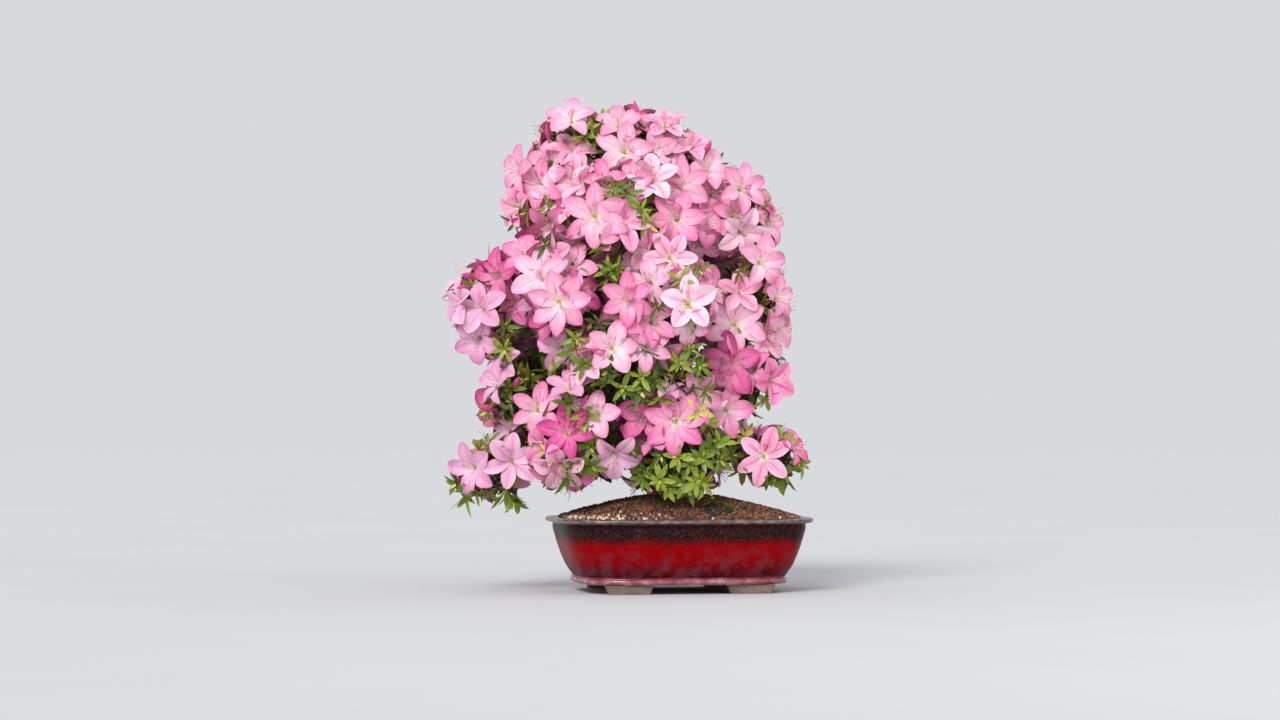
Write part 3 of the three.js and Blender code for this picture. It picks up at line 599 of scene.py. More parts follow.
def plain_tone(name, colour, roughness, scale, depth, **values):
    """One base colour with fine relief, for pieces of many small things."""
    finish = Finish(name, roughness).colour(colour)
    return finish.bump(finish.noise(scale, 4), depth).set(**values).material


def petal_material(name, colour):
    return plain_tone(
        name, colour, 0.5, 900, 0.12,
        Sheen_Weight=0.08, Sheen_Roughness=0.4, Specular_IOR_Level=0.3,
    )


# Pot and feet


def squared(angles, power):
    """Points in these directions on a square with round corners. Its half sizes are one."""
    flat = np.stack([np.cos(angles), np.sin(angles)], -1)
    return np.sign(flat) * np.abs(flat) ** (2 / power)


def oval(count):
    """Points round the pot's outline, at equal steps, for half sizes of one."""
    dense = np.linspace(0, 2 * math.pi, 4001)
    return evenly(squared(dense, OUTLINE_POWER), count + 1)[:-1]


def level_ring(shape, drawn_in, height, share=1.0):
    half = np.array([POT_LENGTH / 2 - drawn_in, POT_DEPTH / 2 - drawn_in]) * share
    return np.column_stack([shape * half, np.full(len(shape), float(height))])


def smoothed(levels, steps):
    """More levels between the given ones, on a smooth line through them."""
    made = []
    points = np.array(levels, float)
    for i in range(len(points) - 1):
        before, after = points[max(i - 1, 0)], points[min(i + 2, len(points) - 1)]
        for t in np.arange(steps) / steps:
            a, b = points[i], points[i + 1]
            bend = (b - before) * t + (2 * before - 5 * a + 4 * b - after) * t**2
            made.append(a + 0.5 * (bend + (3 * (a - b) + after - before) * t**3))
    return made + [points[-1]]


def make_pot():
    shape = oval(POT_SIDES)
    levels = smoothed([*FOOT_BAND, *BELLY, *LIP, *INNER_WALL], 4)
    rings = [level_ring(shape, drawn_in, z) for drawn_in, z in levels]
    sole = [level_ring(shape, 60, UNDERSIDE, share) for share in (0.02, 1)]
    rings = sole + rings
    points = np.concatenate(rings)
    points += uneven(points, *POT_RELIEF) * (points[:, 2:] > UNDERSIDE + 2)
    faces = grid_faces(len(rings), len(shape), closed=True)
    middles = points[faces][:, :, 2].mean(axis=1)
    rims = (middles > LIP[0][1]) | (middles < FOOT_BAND[-1][1])
    glazes = [glaze_material("red_glaze", 0.04, (0.26, 0.44)), glaze_material("rim_glaze", 0.9, (0.2, 0.4))]
    dress(mesh_of("pot_glazed", from_pot(points), faces, glazes, rims), "glaze", "pot")


def uneven(points, depth, scale):
    """Small moves in all directions, by a smooth noise with so many features to a millimetre."""
    return np.array([noise.noise_vector(Vector(p) * scale) for p in points]) * depth


def make_foot(name, middle, material):
    shape = squared(np.arange(FOOT_SIDES) * 2 * math.pi / FOOT_SIDES, FOOT_POWER)
    rings = []
    for drawn_in, z in smoothed(FOOT_PROFILE, 3):
        half = np.maximum(np.array(FOOT_SIZE) / 2 - drawn_in, 0.5)
        flat = np.column_stack([shape * half, np.full(FOOT_SIDES, max(z, 0.0))])
        rings.append(flat + [*middle, 0])
    points = np.concatenate(rings)
    points += uneven(points, *FOOT_RELIEF) * (points[:, 2:] > 1.5)
    faces = grid_faces(len(rings), FOOT_SIDES, closed=True)
    dress(mesh_of("clay_" + name, from_pot(points), faces, [material]), "bare_clay", name)


def make_feet(material):
    for side, across in (("left", -1), ("right", 1)):
        for end, deep in (("front", -1), ("back", 1)):
            middle = (across * FOOT_PLACE[0], deep * FOOT_PLACE[1])
            make_foot(f"foot_{end}_{side}", middle, material)


# Soil


def mound_height(share):
    share = np.clip(share, MOUND_FLAT, 1)
    return MOUND_EDGE + MOUND_HEIGHT * (1 - share**MOUND_FALL)


SOIL_TOP = float(mound_height(0))
TRUNK_FOOT = SOIL_TOP + GAP


def share_out(x, y):
    """How far out on the soil a point of the pot's frame lies: 1 is the pot's wall."""
    shares = np.abs(np.stack([x, y], -1) / SOIL_HALF) ** OUTLINE_POWER
    return shares.sum(-1) ** (1 / OUTLINE_POWER)


def soil_height(x, y):
    return mound_height(share_out(x, y))


GRAINS = {
    "grain_red": "7e4b38", "grain_brown": "5c3829", "grain_ochre": "93674e",
    "grain_dark": "38241a", "grain_grey": "98826f", "grain_pale": "e4d2b4",
}
GRAIN_COUNT = 7000
GRAIN_SIZE = (1.5, 3.1)
SOIL_SEED = 11
GRAIN_PATCHES = {  # odds of each kind on the slope, near the rim, and near the rim on the left
    "slope": (0.38, 0.32, 0.09, 0.18, 0.02, 0.01),
    "rim": (0.35, 0.26, 0.2, 0.1, 0.05, 0.04),
    "left": (0.16, 0.12, 0.28, 0.04, 0.12, 0.28),
}
MOSS = ("4a461c", "6a5f26", "2a2c14")  # the last one is the dark patch's
MOSS_COUNT = 7800
MOSS_SIDES = 5
MOSS_SIZE = (1.2, 2.4)
DARK_PATCH = (29, -78, 19)  # the middle and the reach of a dark patch of soil, covered wholly in cushions of the darkest tone


def grain_shape(rng, size):
    """The corners of a small lump with eight corners."""
    corners = np.array([[x, y, z] for z in (-1, 1) for x, y in ((-1, -1), (1, -1), (1, 1), (-1, 1))], float)
    corners *= rng.uniform(0.35, 0.75, corners.shape)
    return corners * size


LUMP_FACES = np.array([[0, 3, 2, 1], [4, 5, 6, 7], [0, 1, 5, 4], [1, 2, 6, 5], [2, 3, 7, 6], [3, 0, 4, 7]])


def scatter_on_soil(rng, count):
    """Places on the soil, in the pot's frame."""
    spots = rng.uniform(-1, 1, (3 * count, 2)) * SOIL_HALF
    spots = spots[share_out(spots[:, 0], spots[:, 1]) < 0.985][:count]
    return np.column_stack([spots, soil_height(spots[:, 0], spots[:, 1])])


def in_dark_patch(spot):
    return math.hypot(spot[0] - DARK_PATCH[0], spot[1] - DARK_PATCH[1]) < DARK_PATCH[2]


def mossiness(spot):
    """From 0 to 1: most on the slopes at the sides and the back, by a slow noise."""
    share = share_out(spot[0], spot[1])
    belt = math.exp(-(((share - 0.5) / 0.25) ** 2)) - 0.35 * (spot[1] < -40)
    slow = noise.noise(Vector((spot[0], spot[1], 5)) * 0.03)
    return 1.0 if in_dark_patch(spot) else min(1.0, max(0.0, 0.9 * belt + 1.2 * slow))


def grain_patch(spot, rng):
    """Which mix of grains lies at a spot: washed ones show near the rim, most on the left."""
    out = share_out(spot[0], spot[1]) + rng.normal() * 0.05
    if out < 0.9:
        return "slope"
    return "left" if spot[0] < -40 + rng.normal() * 20 else "rim"


def lay(heap, name, materials):
    """A piece that lies on the soil."""
    made = heap.piece(name, materials, from_pot)
    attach(made, "root")


def make_mound():
    shape = oval(MOUND_SIDES)
    clear = 1.3 * GAP
    rings = [level_ring(shape, 20 + clear, 50)]
    rings += [
        level_ring(shape, MOUND_EDGE_IN + clear, mound_height(share), share)
        for share in np.linspace(1, 0.02, 60)
    ]
    points = np.concatenate(rings)
    points[len(shape):] += uneven(points[len(shape):], *MOUND_RELIEF)
    faces = grid_faces(len(rings), len(shape), closed=True)
    dress(mesh_of("soil_mound", from_pot(points), faces, [soil_material()]), "soil", "soil")


def make_grains(rng):
    heap = Heap()
    for spot in scatter_on_soil(rng, GRAIN_COUNT):
        size = rng.uniform(*GRAIN_SIZE)
        if rng.random() < 0.85 * mossiness(spot):
            continue
        kind = rng.choice(len(GRAINS), p=GRAIN_PATCHES[grain_patch(spot, rng)])
        lump = grain_shape(rng, size) @ upright_on(rng.normal(size=3), rng.uniform(0, 6))
        heap.add(lump + spot + [0, 0, 0.25 * size], LUMP_FACES, kind)
    lay(heap, "soil_grains", [plain_tone(name, c, 0.92, 1500, 0.4) for name, c in GRAINS.items()])


def make_moss(rng):
    """Small cushions of moss."""
    heap = Heap()
    angles = np.arange(MOSS_SIDES) * 2 * math.pi / MOSS_SIDES
    faces = grid_faces(3, MOSS_SIDES, closed=True)
    for spot in scatter_on_soil(rng, MOSS_COUNT):
        if rng.random() > mossiness(spot):
            continue
        size = rng.uniform(*MOSS_SIZE)
        low = np.column_stack([np.cos(angles), np.sin(angles), np.zeros(MOSS_SIDES)]) * size
        high = low * 0.55 + [0, 0, size * rng.uniform(0.5, 1)]
        top = low * 0.05 + [0, 0, size * rng.uniform(0.8, 1.3)]
        # cushions inside the dark patch take the darkest tone
        tone = 2 if in_dark_patch(spot) else rng.integers(2)
        heap.add(np.concatenate([low, high, top]) + spot, faces, tone)
    lay(heap, "soil_moss", [plain_tone(f"moss_{i}", c, 0.95, 2500, 0.5) for i, c in enumerate(MOSS)])


def make_soil():
    rng = np.random.default_rng(SOIL_SEED)
    make_mound()
    make_grains(rng)
    make_moss(rng)


# Trunk and boughs


def trunk_line():
    """A centripetal Catmull-Rom line through the trunk's points, at equal steps."""
    points = np.array(TRUNK_PATH, float) + [0, 0, TRUNK_FOOT]
    points = np.concatenate([[2 * points[0] - points[1]], points, [2 * points[-1] - points[-2]]])
    made = []
    for a, b, c, d in zip(points, points[1:], points[2:], points[3:]):
        steps = [math.sqrt(np.linalg.norm(q - p)) for p, q in ((a, b), (b, c), (c, d))]
        t1 = (b - a) / steps[0] - (c - a) / (steps[0] + steps[1]) + (c - b) / steps[1]
        t2 = (c - b) / steps[1] - (d - b) / (steps[1] + steps[2]) + (d - c) / steps[2]
        t1, t2 = t1 * steps[1], t2 * steps[1]
        t = np.linspace(0, 1, 24, endpoint=False)[:, None]
        made.append(b + t1 * t + (3 * (c - b) - 2 * t1 - t2) * t**2 + (2 * (b - c) + t1 + t2) * t**3)
    return evenly(np.concatenate([*made, points[-2:-1]]), 161)


TRUNK = trunk_line()
TRUNK_LENGTH = arc_shares(TRUNK)[1]


def trunk_radius(share, angles=0.0):
    flare = math.exp(-share * TRUNK_LENGTH / FLARE_HEIGHT)
    ridge = FLARE_RIDGE * np.cos(FLARE_RIDGES * angles)
    taper = TRUNK_RADIUS[0] + (TRUNK_RADIUS[1] - TRUNK_RADIUS[0]) * share**TRUNK_FALL
    return taper + flare * (FLARE_OUT + ridge)


def bark_relief(depth):
    """Long uneven ridges and finer lumps."""
    def relief(points):
        found = []
        for p in points:
            ridge = noise.noise(Vector((p[0] * 0.16, p[1] * 0.16, p[2] * 0.035)))
            lump = noise.noise(Vector(p) * 0.33)
            found.append(depth * (1.1 * ridge + 0.5 * lump))
        return np.array(found)
    return relief


def centre_of(name):
    return np.array(MASSES[name][0], float)


def half_of(name):
    return np.array(MASSES[name][1], float)


def depth_of(name, points):
    """0 at a mass's centre and 1 at its edge."""
    shares = np.abs((np.asarray(points) - centre_of(name)) / half_of(name)) ** MASS_POWER
    return shares.sum(-1) ** (1 / MASS_POWER)


def edge(name, way):
    return 1 / depth_of(name, centre_of(name) + way)


CENTRES = np.array([mass[0] for mass in MASSES.values()], float)
HALVES = np.array([mass[1] for mass in MASSES.values()], float)


def depths_of(points):
    """The depth of each point in each mass."""
    gaps = (np.asarray(points)[..., None, :] - CENTRES) / HALVES
    return (np.abs(gaps) ** MASS_POWER).sum(-1) ** (1 / MASS_POWER)


def crown_depth(points):
    """As depth_of, for all masses as one, with the valleys between them filled."""
    return 1 - np.log(np.exp(-FILLING * (depths_of(points) - 1)).sum(-1)) / FILLING


def reach_of_crown(name, way):
    """How far it is from a mass's centre to the crown's edge."""
    steps = edge(name, way) + 4 * np.arange(12)
    inside = crown_depth(centre_of(name) + steps[:, None] * way) < 1
    return steps[int(np.argmin(inside))]


def bough_line(name):
    height = MASSES[name][3] + TRUNK_FOOT
    index = int(np.argmin(np.abs(TRUNK[:, 2] - height)))
    start = TRUNK[index]
    centre = centre_of(name)
    back = unit(start - centre)
    end = centre + back * edge(name, back) * BOUGH_END
    top = (start + end) / 2 + [0, 0, BOUGH_ARCH * np.linalg.norm(end - start)]
    return bezier([start, top, end], 40), index / (len(TRUNK) - 1)


def make_trunk(bark):
    shares = np.linspace(0, 1, len(TRUNK))
    radii = [lambda angles, s=s: trunk_radius(s, angles) for s in shares]
    points, faces = tube(TRUNK, radii, TRUNK_SIDES, bark_relief(TRUNK_BARK))
    points[:, 2] = np.maximum(points[:, 2], TRUNK_FOOT - 3)
    dress(mesh_of("trunk_bark", from_tree(points), faces, [bark]), "bark", "trunk")


def make_boughs(bark):
    heap = Heap()
    borne = [name for name, mass in MASSES.items() if mass[3] is not None]
    for name in borne:
        line, share = bough_line(name)
        foot = min(BOUGH_RADIUS[0], BOUGH_SHARE * float(trunk_radius(share)))
        along = np.linspace(0, 1, len(line))
        collar = 1 + 0.5 * np.exp(-along * 9)
        radii = (foot + (BOUGH_RADIUS[1] - foot) * along) * collar
        heap.add(*tube(line, radii, BOUGH_SIDES, bark_relief(BOUGH_BARK)))
    nodes = ["bough_" + name for name in borne]
    dress(heap.piece("boughs_bark", [bark], from_tree), "bark", *nodes)


# Where shoots end


def spread(i, count):
    z = 1 - (2 * i + 1) / count
    out = math.sqrt(1 - z * z)
    return np.array([out * math.cos(i * GOLDEN_ANGLE), out * math.sin(i * GOLDEN_ANGLE), z])


class Site:
    """A place where a shoot ends."""

    def __init__(self, mass, place, way, draw):
        self.mass, self.place, self.way, self.draw = mass, place, way, draw


def sites_of(name, spacing, key, sunk=0.0, covered=COVERED):
    """Places on a mass's edge, or sunk under it, that no other mass covers."""
    count = round(4 * math.pi * half_of(name).mean() ** 2 / spacing**2)
    index = list(MASSES).index(name)
    found = []
    for i in range(count):
        way = spread(i, count)
        place = centre_of(name) + way * (reach_of_crown(name, way) - sunk)
        depths = np.delete(depths_of(place), index)
        if depths.min() > covered:
            found.append(Site(name, place, way, numbers_from(1000 * (index + 1) + key + i)))
    return found


def thinned(sites, kept, least):
    """The sites that lie at least so far from the kept ones and from each other."""
    places = [site.place for site in kept]
    found = []
    for site in sorted(sites, key=lambda s: s.draw()):
        if places and np.min(np.linalg.norm(np.array(places) - site.place, axis=1)) < least:
            continue
        places.append(site.place)
        found.append(site)
    return found


# Spots on the front view's grid where leaves show in place of flowers, and where the crown is open,
# each with its reach
LEAFY = [
    (591, 124, 17), (622, 191, 15), (646, 212, 14), (612, 266, 14), (574, 347, 15), (503, 338, 18),
    (510, 394, 15), (690, 358, 24), (637, 383, 24), (586, 450, 19), (680, 470, 40), (715, 450, 22),
    (480, 498, 22), (512, 504, 16), (806, 465, 14), (785, 432, 12), (774, 482, 12), (480, 412, 14),
    (528, 370, 26), (558, 368, 26), (545, 345, 20), (640, 398, 20), (606, 378, 18),
]
OPEN = [
    (718, 257, 21), (533, 345, 24), (592, 313, 11), (690, 392, 16), (592, 390, 13), (545, 240, 10),
    (632, 250, 9), (607, 250, 13), (560, 380, 12), (725, 345, 8),
]


def on_grid(points):
    """Where points show on the front view's grid."""
    gaps = np.atleast_2d(points) - CAMERA_AT
    nearer = -CAMERA_AT[1] / gaps[:, 1:2]
    seen = CAMERA_AT[[0, 2]] + gaps[:, [0, 2]] * nearer
    return (seen - CORNER) * [1, -1] / STEP


def in_outline(spots):
    """Whether all spots on the grid lie within the crown's outline."""
    x, y = spots[:, :1], spots[:, 1:]
    (x1, y1), (x2, y2) = OUTLINE.T, np.roll(OUTLINE, -1, axis=0).T
    level = np.where(y1 == y2, 1, y2 - y1)
    crossed = ((y1 > y) != (y2 > y)) & (x < x1 + (x2 - x1) * (y - y1) / level)
    return bool((crossed.sum(axis=1) % 2 == 1).all())


def near_spot(place, spots):
    """Whether a place shows near one of the spots. The back is like the front, mirrored."""
    x, y = on_grid(place)[0]
    if place[1] > 10:
        x = 2 * on_grid([CAMERA_AT[0], 0, 0])[0][0] - x
    return any(math.hypot(x - a, y - b) < reach for a, b, reach in spots)


def sight_line(x, y):
    """Points on the line from the camera through a spot on the grid, front to back."""
    target = np.array([CORNER[0] + STEP * x, 0, CORNER[1] - STEP * y])
    return target + np.arange(-190, 60, 4)[:, None] * unit(target - CAMERA_AT)


def shown_site(x, y):
    """The place where the crown's surface shows at a spot on the grid."""
    line = sight_line(x, y)
    depths = crown_depth(line)
    place = line[int(np.argmax(depths < 1) if depths.min() < 1 else np.argmin(depths))]
    name = list(MASSES)[int(np.argmin(depths_of(place)))]
    return Site(name, place, unit(place - centre_of(name)), numbers_from(round(1300 * y + x)))


# Twigs


class Bearer:
    """What bears a mass's shoots: points along its stem and its main twigs."""

    def __init__(self, name):
        if MASSES[name][3] is None:
            tip, before = TRUNK[-1], TRUNK[-4]
        else:
            line = bough_line(name)[0]
            tip, before = line[-1], line[-3]
        centre = centre_of(name)
        onward = unit(centre - tip)
        end = centre + onward * edge(name, onward) * SPINE_REACH
        self.stem = bezier([before, tip, centre, end], 24)
        self.points = self.stem[4:]
        self.radii = np.linspace(*SPINE_RADIUS, len(self.stem))

    def nearest(self, place, way):
        """The bearing point for a shoot that ends at place, heading way."""
        gaps = place - self.points
        cost = np.linalg.norm(gaps, axis=1) + 1000.0 * (gaps @ way < 5)
        return int(np.argmin(cost))

    def add(self, path):
        self.points = np.concatenate([self.points, path[len(path) // 3:-1]])


def twig_line(bearer, base, facing, rng, count):
    """A twig from the stem to the base of a flower or a whorl, arriving along its facing."""
    start = bearer.points[bearer.nearest(base, facing)]
    length = np.linalg.norm(base - start)
    bend = rng.normal(size=3) * 0.1 * length
    first = start + unit(base - start) * 0.3 * length + bend
    second = base - facing * 0.3 * length + bend * 0.4
    return bezier([start, first, second, base], count)


# Leaves and flowers, each with its axis along the third direction of its frame

LEAF_ROWS = np.array([0, 0.22, 0.5, 0.78, 1])
LEAF_OUTLINE = np.array([0.14, 0.76, 1, 0.74, 0.07])
LEAF_COLUMNS = np.array([-1, 0, 1])
LEAF_FACES = grid_faces(len(LEAF_ROWS), len(LEAF_COLUMNS))


def leaf_points(length, width, tilt, curl, fold):
    """A leaf that leaves its twig in the first direction, tilted from the axis."""
    v = LEAF_ROWS[:, None]
    lean = tilt + curl * v
    x = length * v * np.sin(lean)
    z = length * v * np.cos(lean)
    half = width / 2 * LEAF_OUTLINE[:, None]
    y = half * LEAF_COLUMNS * math.cos(fold)
    rise = half * np.abs(LEAF_COLUMNS) * math.sin(fold)
    return np.stack([x - rise * np.cos(lean) + 0.8, y, z + rise * np.sin(lean)], -1).reshape(-1, 3)


LEAF_LENGTH = (15, 25)
OLD_LEAVES, YOUNG_LEAVES = (5, 8), (1, 4)  # least, and one more than most
BROAD_FALL = (330, 130)  # heights: where leaves start to be broader downwards, and over what drop
YELLOW_GREEN = 3  # tint of most young leaves


def add_whorl(heap, base, facing, rng, tint, size=1.0, tilt=1.0):
    """Leaves round the end of a twig, and a few small young ones in the middle.

    They are slim in the upper crown and broader near the soil, and fewer where they hang.
    """
    low = min(1.0, max(0.0, (BROAD_FALL[0] - base[2]) / BROAD_FALL[1]))
    slim = (0.26 + 0.11 * low) * (0.7 + 0.3 * tilt)
    old = round(rng.integers(*OLD_LEAVES) * (0.5 + 0.5 * tilt))
    for young, count in ((False, old), (True, rng.integers(*YOUNG_LEAVES))):
        start = rng.uniform(0, 6)
        for i in range(count):
            length = rng.uniform(*LEAF_LENGTH) * size * (0.5 if young else 1)
            spread_out = rng.uniform(0.3, 0.6) if young else rng.uniform(0.85, 1.35) * tilt
            width = length * slim * rng.uniform(0.88, 1.12)
            shape = leaf_points(length, width, spread_out, rng.uniform(-0.1, 0.5), rng.uniform(0.15, 0.5))
            turn = upright_on(facing, start + i * 2 * math.pi / count + rng.uniform(-0.3, 0.3))
            heap.add(shape @ turn + base, LEAF_FACES, YELLOW_GREEN if young and rng.random() < 0.7 else tint)


PETAL_ROWS = np.array([0, 0.15, 0.3, 0.45, 0.58, 0.7, 0.8, 0.89, 0.96, 1])
PETAL_OUTLINE = np.array([0.05, 0.28, 0.54, 0.8, 0.96, 1.0, 0.9, 0.66, 0.36, 0.04])
PETAL_BLUNTNESS = np.array([0, 0, 0, 0, 0, 0.02, 0.06, 0.14, 0.24, 0.18])
PETAL_COLUMNS = np.array([-1, -0.68, -0.36, -0.1, 0.1, 0.36, 0.68, 1])
PETAL_FACES = grid_faces(len(PETAL_ROWS), len(PETAL_COLUMNS))


def petal_points(reach, height, width, fused, bluntness, rng):
    """A petal in the first direction: fused to its neighbours below, then spread out wide."""
    v, u = PETAL_ROWS[:, None], PETAL_COLUMNS[None, :]
    out = 0.8 + (reach - 0.8) * (0.2 * v + 0.8 * v**1.9)
    recurve = rng.uniform(0.05, 0.45)
    up = height * (1 - (1 - v) ** 1.8 - recurve * v**4)
    half = width / 2 * (PETAL_OUTLINE + bluntness * PETAL_BLUNTNESS)[:, None]
    half = np.where(v < 0.42, np.maximum(half, out * fused), half)
    wide = np.clip((v - 0.15) / 0.35, 0, 1)
    bend = u * half / out
    x = out * ((1 - wide) * np.cos(bend) + wide)
    y = (1 - wide) * out * np.sin(bend) + wide * u * half
    cup = rng.uniform(0.05, 0.4) * wide * half * np.abs(u) ** 1.6
    groove = 0.7 * wide * np.exp(-((u / 0.22) ** 2))
    phase = rng.uniform(0, 6)
    wave = 0.1 * half * wide * np.sin(7 * v + phase + 2 * np.sign(u)) * u**2
    twist = rng.normal() * 0.16 * wide * u * half
    return np.stack(np.broadcast_arrays(x, y, up + cup - groove + wave + twist), -1).reshape(-1, 3)


def petal_depths(style, blotched, rng):
    """How deep the colour of each face of a petal is: to the rim and tip, or along the middle."""
    v = (PETAL_ROWS[1:] + PETAL_ROWS[:-1])[:, None] / 2
    u = np.abs(PETAL_COLUMNS[1:] + PETAL_COLUMNS[:-1])[None, :] / 2
    line = np.exp(-((u / 0.17) ** 2) - ((v - 0.55) / 0.3) ** 2)
    if style == "rimmed":
        depths = 0.75 * v**2 + 0.55 * v * u**2 + 0.4 * line
    else:
        depths = 0.2 + 0.6 * line + 0.25 * (1 - u) * v
    depths = depths - 0.3 * (1 - np.clip(v / 0.55, 0, 1))
    depths = depths + rng.normal(size=depths.shape) * 0.03 + rng.normal() * 0.06
    if blotched:
        depths = depths + (rng.random(depths.shape) < 0.35) * (v > 0.14) * (v < 0.6) * 0.5
    return depths


# Pinks from nearly white to deep, and mauves. A tint is a ramp and the tone that it starts at
RAMPS = {
    "pink": ("faebe8", "f8dbe4", "f5c3d5", "f0a7c3", "e98ab3", "df6ba1", "cd4b8c", "b93375"),
    "mauve": ("f6dde9", "efc3d9", "e6a8c9", "dc8bb8", "cd6ca5", "b94f8f"),
}
TONES = 14
TONE_STEPS = 6  # from the palest to the deepest tone of one petal
TINTS = {
    "blush": ("pink", 1.5), "shell": ("pink", 2.5), "rose": ("pink", 3.8), "pink": ("pink", 5.8),
    "hot": ("pink", 7.8), "mauve": ("mauve", 2.5),
}
THROAT_COLOURS = {"throat": "eee6b4", "throat_pale": "f6e4d3"}


def ramp_tones(ramp):
    """Linear colours at equal steps along a ramp."""
    colours = np.array([srgb(c) for c in RAMPS[ramp]])
    spots = np.linspace(0, len(colours) - 1, TONES)
    return [[np.interp(s, np.arange(len(colours)), colours[:, k]) for k in range(4)] for s in spots]


def tone_slots(tint, depths):
    """Material slots by depth: the throat's two first, then the tones of each ramp."""
    ramp, first = TINTS[tint]
    tones = np.clip(np.round(first + TONE_STEPS * depths), 0, TONES - 1)
    return len(THROAT_COLOURS) + TONES * list(RAMPS).index(ramp) + tones.astype(int)


def petal_slots(tint, style, blotched, rng):
    slots = tone_slots(tint, petal_depths(style, blotched, rng))
    if tint in ("blush", "shell", "rose"):
        slots[PETAL_ROWS[1:] < 0.32] = 1
    slots[PETAL_ROWS[1:] < 0.2] = 0
    return slots.ravel()


STAMENS = 5
STAMEN_LENGTH, PISTIL_LENGTH = (1.3, 1.65), (1.65, 1.95)  # in heights of the flower
THREAD_RADII = [0.5, 0.46, 0.42, 0.38, 0.34]
ANTHER_SIZE = 0.75
FLOWER_HEIGHT = (15, 19)
FLOWER_REACH = (30, 36)
OPENED = (0.84, 1.04)
PETAL_COUNTS = {5: 0.4, 6: 0.5, 7: 0.1}  # the odds of each
RIMMED_SHARE = 0.65
BUD_LENGTH = (14, 26)
BUD_SLIM = 0.16
BUD_OUTLINE = np.array([0.35, 0.55, 0.8, 1, 0.98, 0.72, 0.4, 0.06])


def stamen_lines(height, rng):
    """Curved threads out of the throat, the last of them the longer pistil."""
    lean = rng.uniform(0, 6)
    for i in range(STAMENS + 1):
        long = i == STAMENS
        angle = lean + rng.normal() * 0.5
        length = height * rng.uniform(*(PISTIL_LENGTH if long else STAMEN_LENGTH))
        out = rng.uniform(3, 9)
        turn = i * 2 * math.pi / STAMENS
        start = np.array([0.7 * math.cos(turn), 0.7 * math.sin(turn), 2])
        aim = np.array([out * math.cos(turn), out * math.sin(turn), 0]) * (0.2 if long else 1)
        lift = np.array([math.cos(angle), math.sin(angle), 0]) * rng.uniform(3, 9)
        yield bezier([start, start + [0, 0, length * 0.6], aim * 0.7 + lift + [0, 0, length]], 5)


def add_flower(heaps, base, facing, tint, rng, reach, count, roll, opened):
    petals, threads = heaps["petals"], heaps["stamens"]
    height = rng.uniform(*FLOWER_HEIGHT) / opened
    bluntness = rng.uniform(0, 0.6)
    style = "rimmed" if rng.random() < RIMMED_SHARE else "striped"
    lift = [upright_on(facing, roll + i * 2 * math.pi / count)[0][2] for i in range(count)]
    for i in range(count):
        width = reach * rng.uniform(0.5, 0.6) * (1.14 if count == 5 else 0.96)
        shape = petal_points(reach * opened * rng.uniform(0.93, 1.04), height, width,
                             math.tan(math.pi / count) * 1.05, bluntness, rng)
        turn = upright_on(facing, roll + i * 2 * math.pi / count + rng.normal() * 0.06)
        slots = petal_slots(tint, style, i == int(np.argmax(lift)), rng)
        petals.add(shape @ turn + base + turn[2] * 0.25 * (i % 2), PETAL_FACES, slots)
    turn = upright_on(facing, roll)
    for line in stamen_lines(height, rng):
        threads.add(*tube(line @ turn + base, THREAD_RADII, 3), 0)
        tip = line[-1] @ turn + base
        threads.add(grain_shape(rng, ANTHER_SIZE) + tip, LUMP_FACES, 1)


def add_bud(heap, base, facing, rng, tint):
    """A pointed bud with its petals still rolled."""
    length = rng.uniform(*BUD_LENGTH)
    shares = np.linspace(0, 1, len(BUD_OUTLINE))
    line = base + np.outer(shares * length, facing) + np.outer(shares**2, rng.normal(size=3) * 2)
    radii = length * BUD_SLIM * BUD_OUTLINE
    points, faces = tube(line, radii, 7)
    heap.add(points, faces, tone_slots(tint, np.full(len(faces), 0.6)))


LEAF_TINTS = ("455816", "6a7f1e", "8a9a2c", "c3c15a", "7c722a")  # deep to yellow-green, then dry
LEAF_ODDS = (0.3, 0.36, 0.2, 0.06, 0.08)


def tint_for(site, rng):
    """Paler flowers high and to the right, deeper ones low and on the left arm."""
    across, _, high = site.place
    warm = 0.52 - 0.0012 * (high - 330) - 0.0014 * across + rng.normal() * 0.24
    if site.place[0] < -150 and high < 330 and rng.random() < 0.45:
        return "mauve"
    steps = (0.16, 0.54, 0.9, 1.2)
    return ("blush", "shell", "rose", "pink", "hot")[sum(warm > s for s in steps)]


TWIG_MATERIALS = {"twig_brown": "5d4231", "twig_green": "7c8a45"}
BROWN, GREEN = range(2)
KINDS = {"petals": "blossom", "stamens": "blossom", "leaves": "leaf", "twigs": "bark"}
MAIN_TWIGS = 14  # of a mass
PULLS, PULL = 9, 4  # how often and how far a flower is moved in to keep to the crown
DROOPING = -55  # degrees up, below which a whorl hangs
CROWN_SEED = 100
FLOWER_RISE, WHORL_RISE = 14, 8  # from the base to the rim
WHORL_SUNK, WHORL_REACH = 12, 19
# Radii of twigs at their foot and their tip
MAIN_TWIG, FLOWER_TWIG, WHORL_TWIG, BUD_TWIG = (2.0, 1.1), (1.3, 0.7), (1.2, 0.6), (1.2, 0.8)
FLOWER_GAP, SECOND_GAP = 31, 25
WHORL_GAP, INNER_GAP = 21, 24
# Sites: their spacing, the key of their numbers, how deep they lie, how far other masses may cover them
EDGE_SITES = (20, 0)
SECOND_SITES = (18, 200, 15, 0.8)
INNER_SITES = (22, 700, 32, 0.6)


def add_twig(heaps, bearer, base, facing, rng, radii, count=7, bears=False, slot=BROWN):
    line = twig_line(bearer, base, facing, rng, count)
    heaps["twigs"].add(*tube(line, np.linspace(*radii, count), 4), slot)
    if bears:
        bearer.add(line)


def facing_of(site, rng, lean=0.45, lift=0.18):
    return unit(site.way + rng.normal(size=3) * lean + [0, 0, lift])


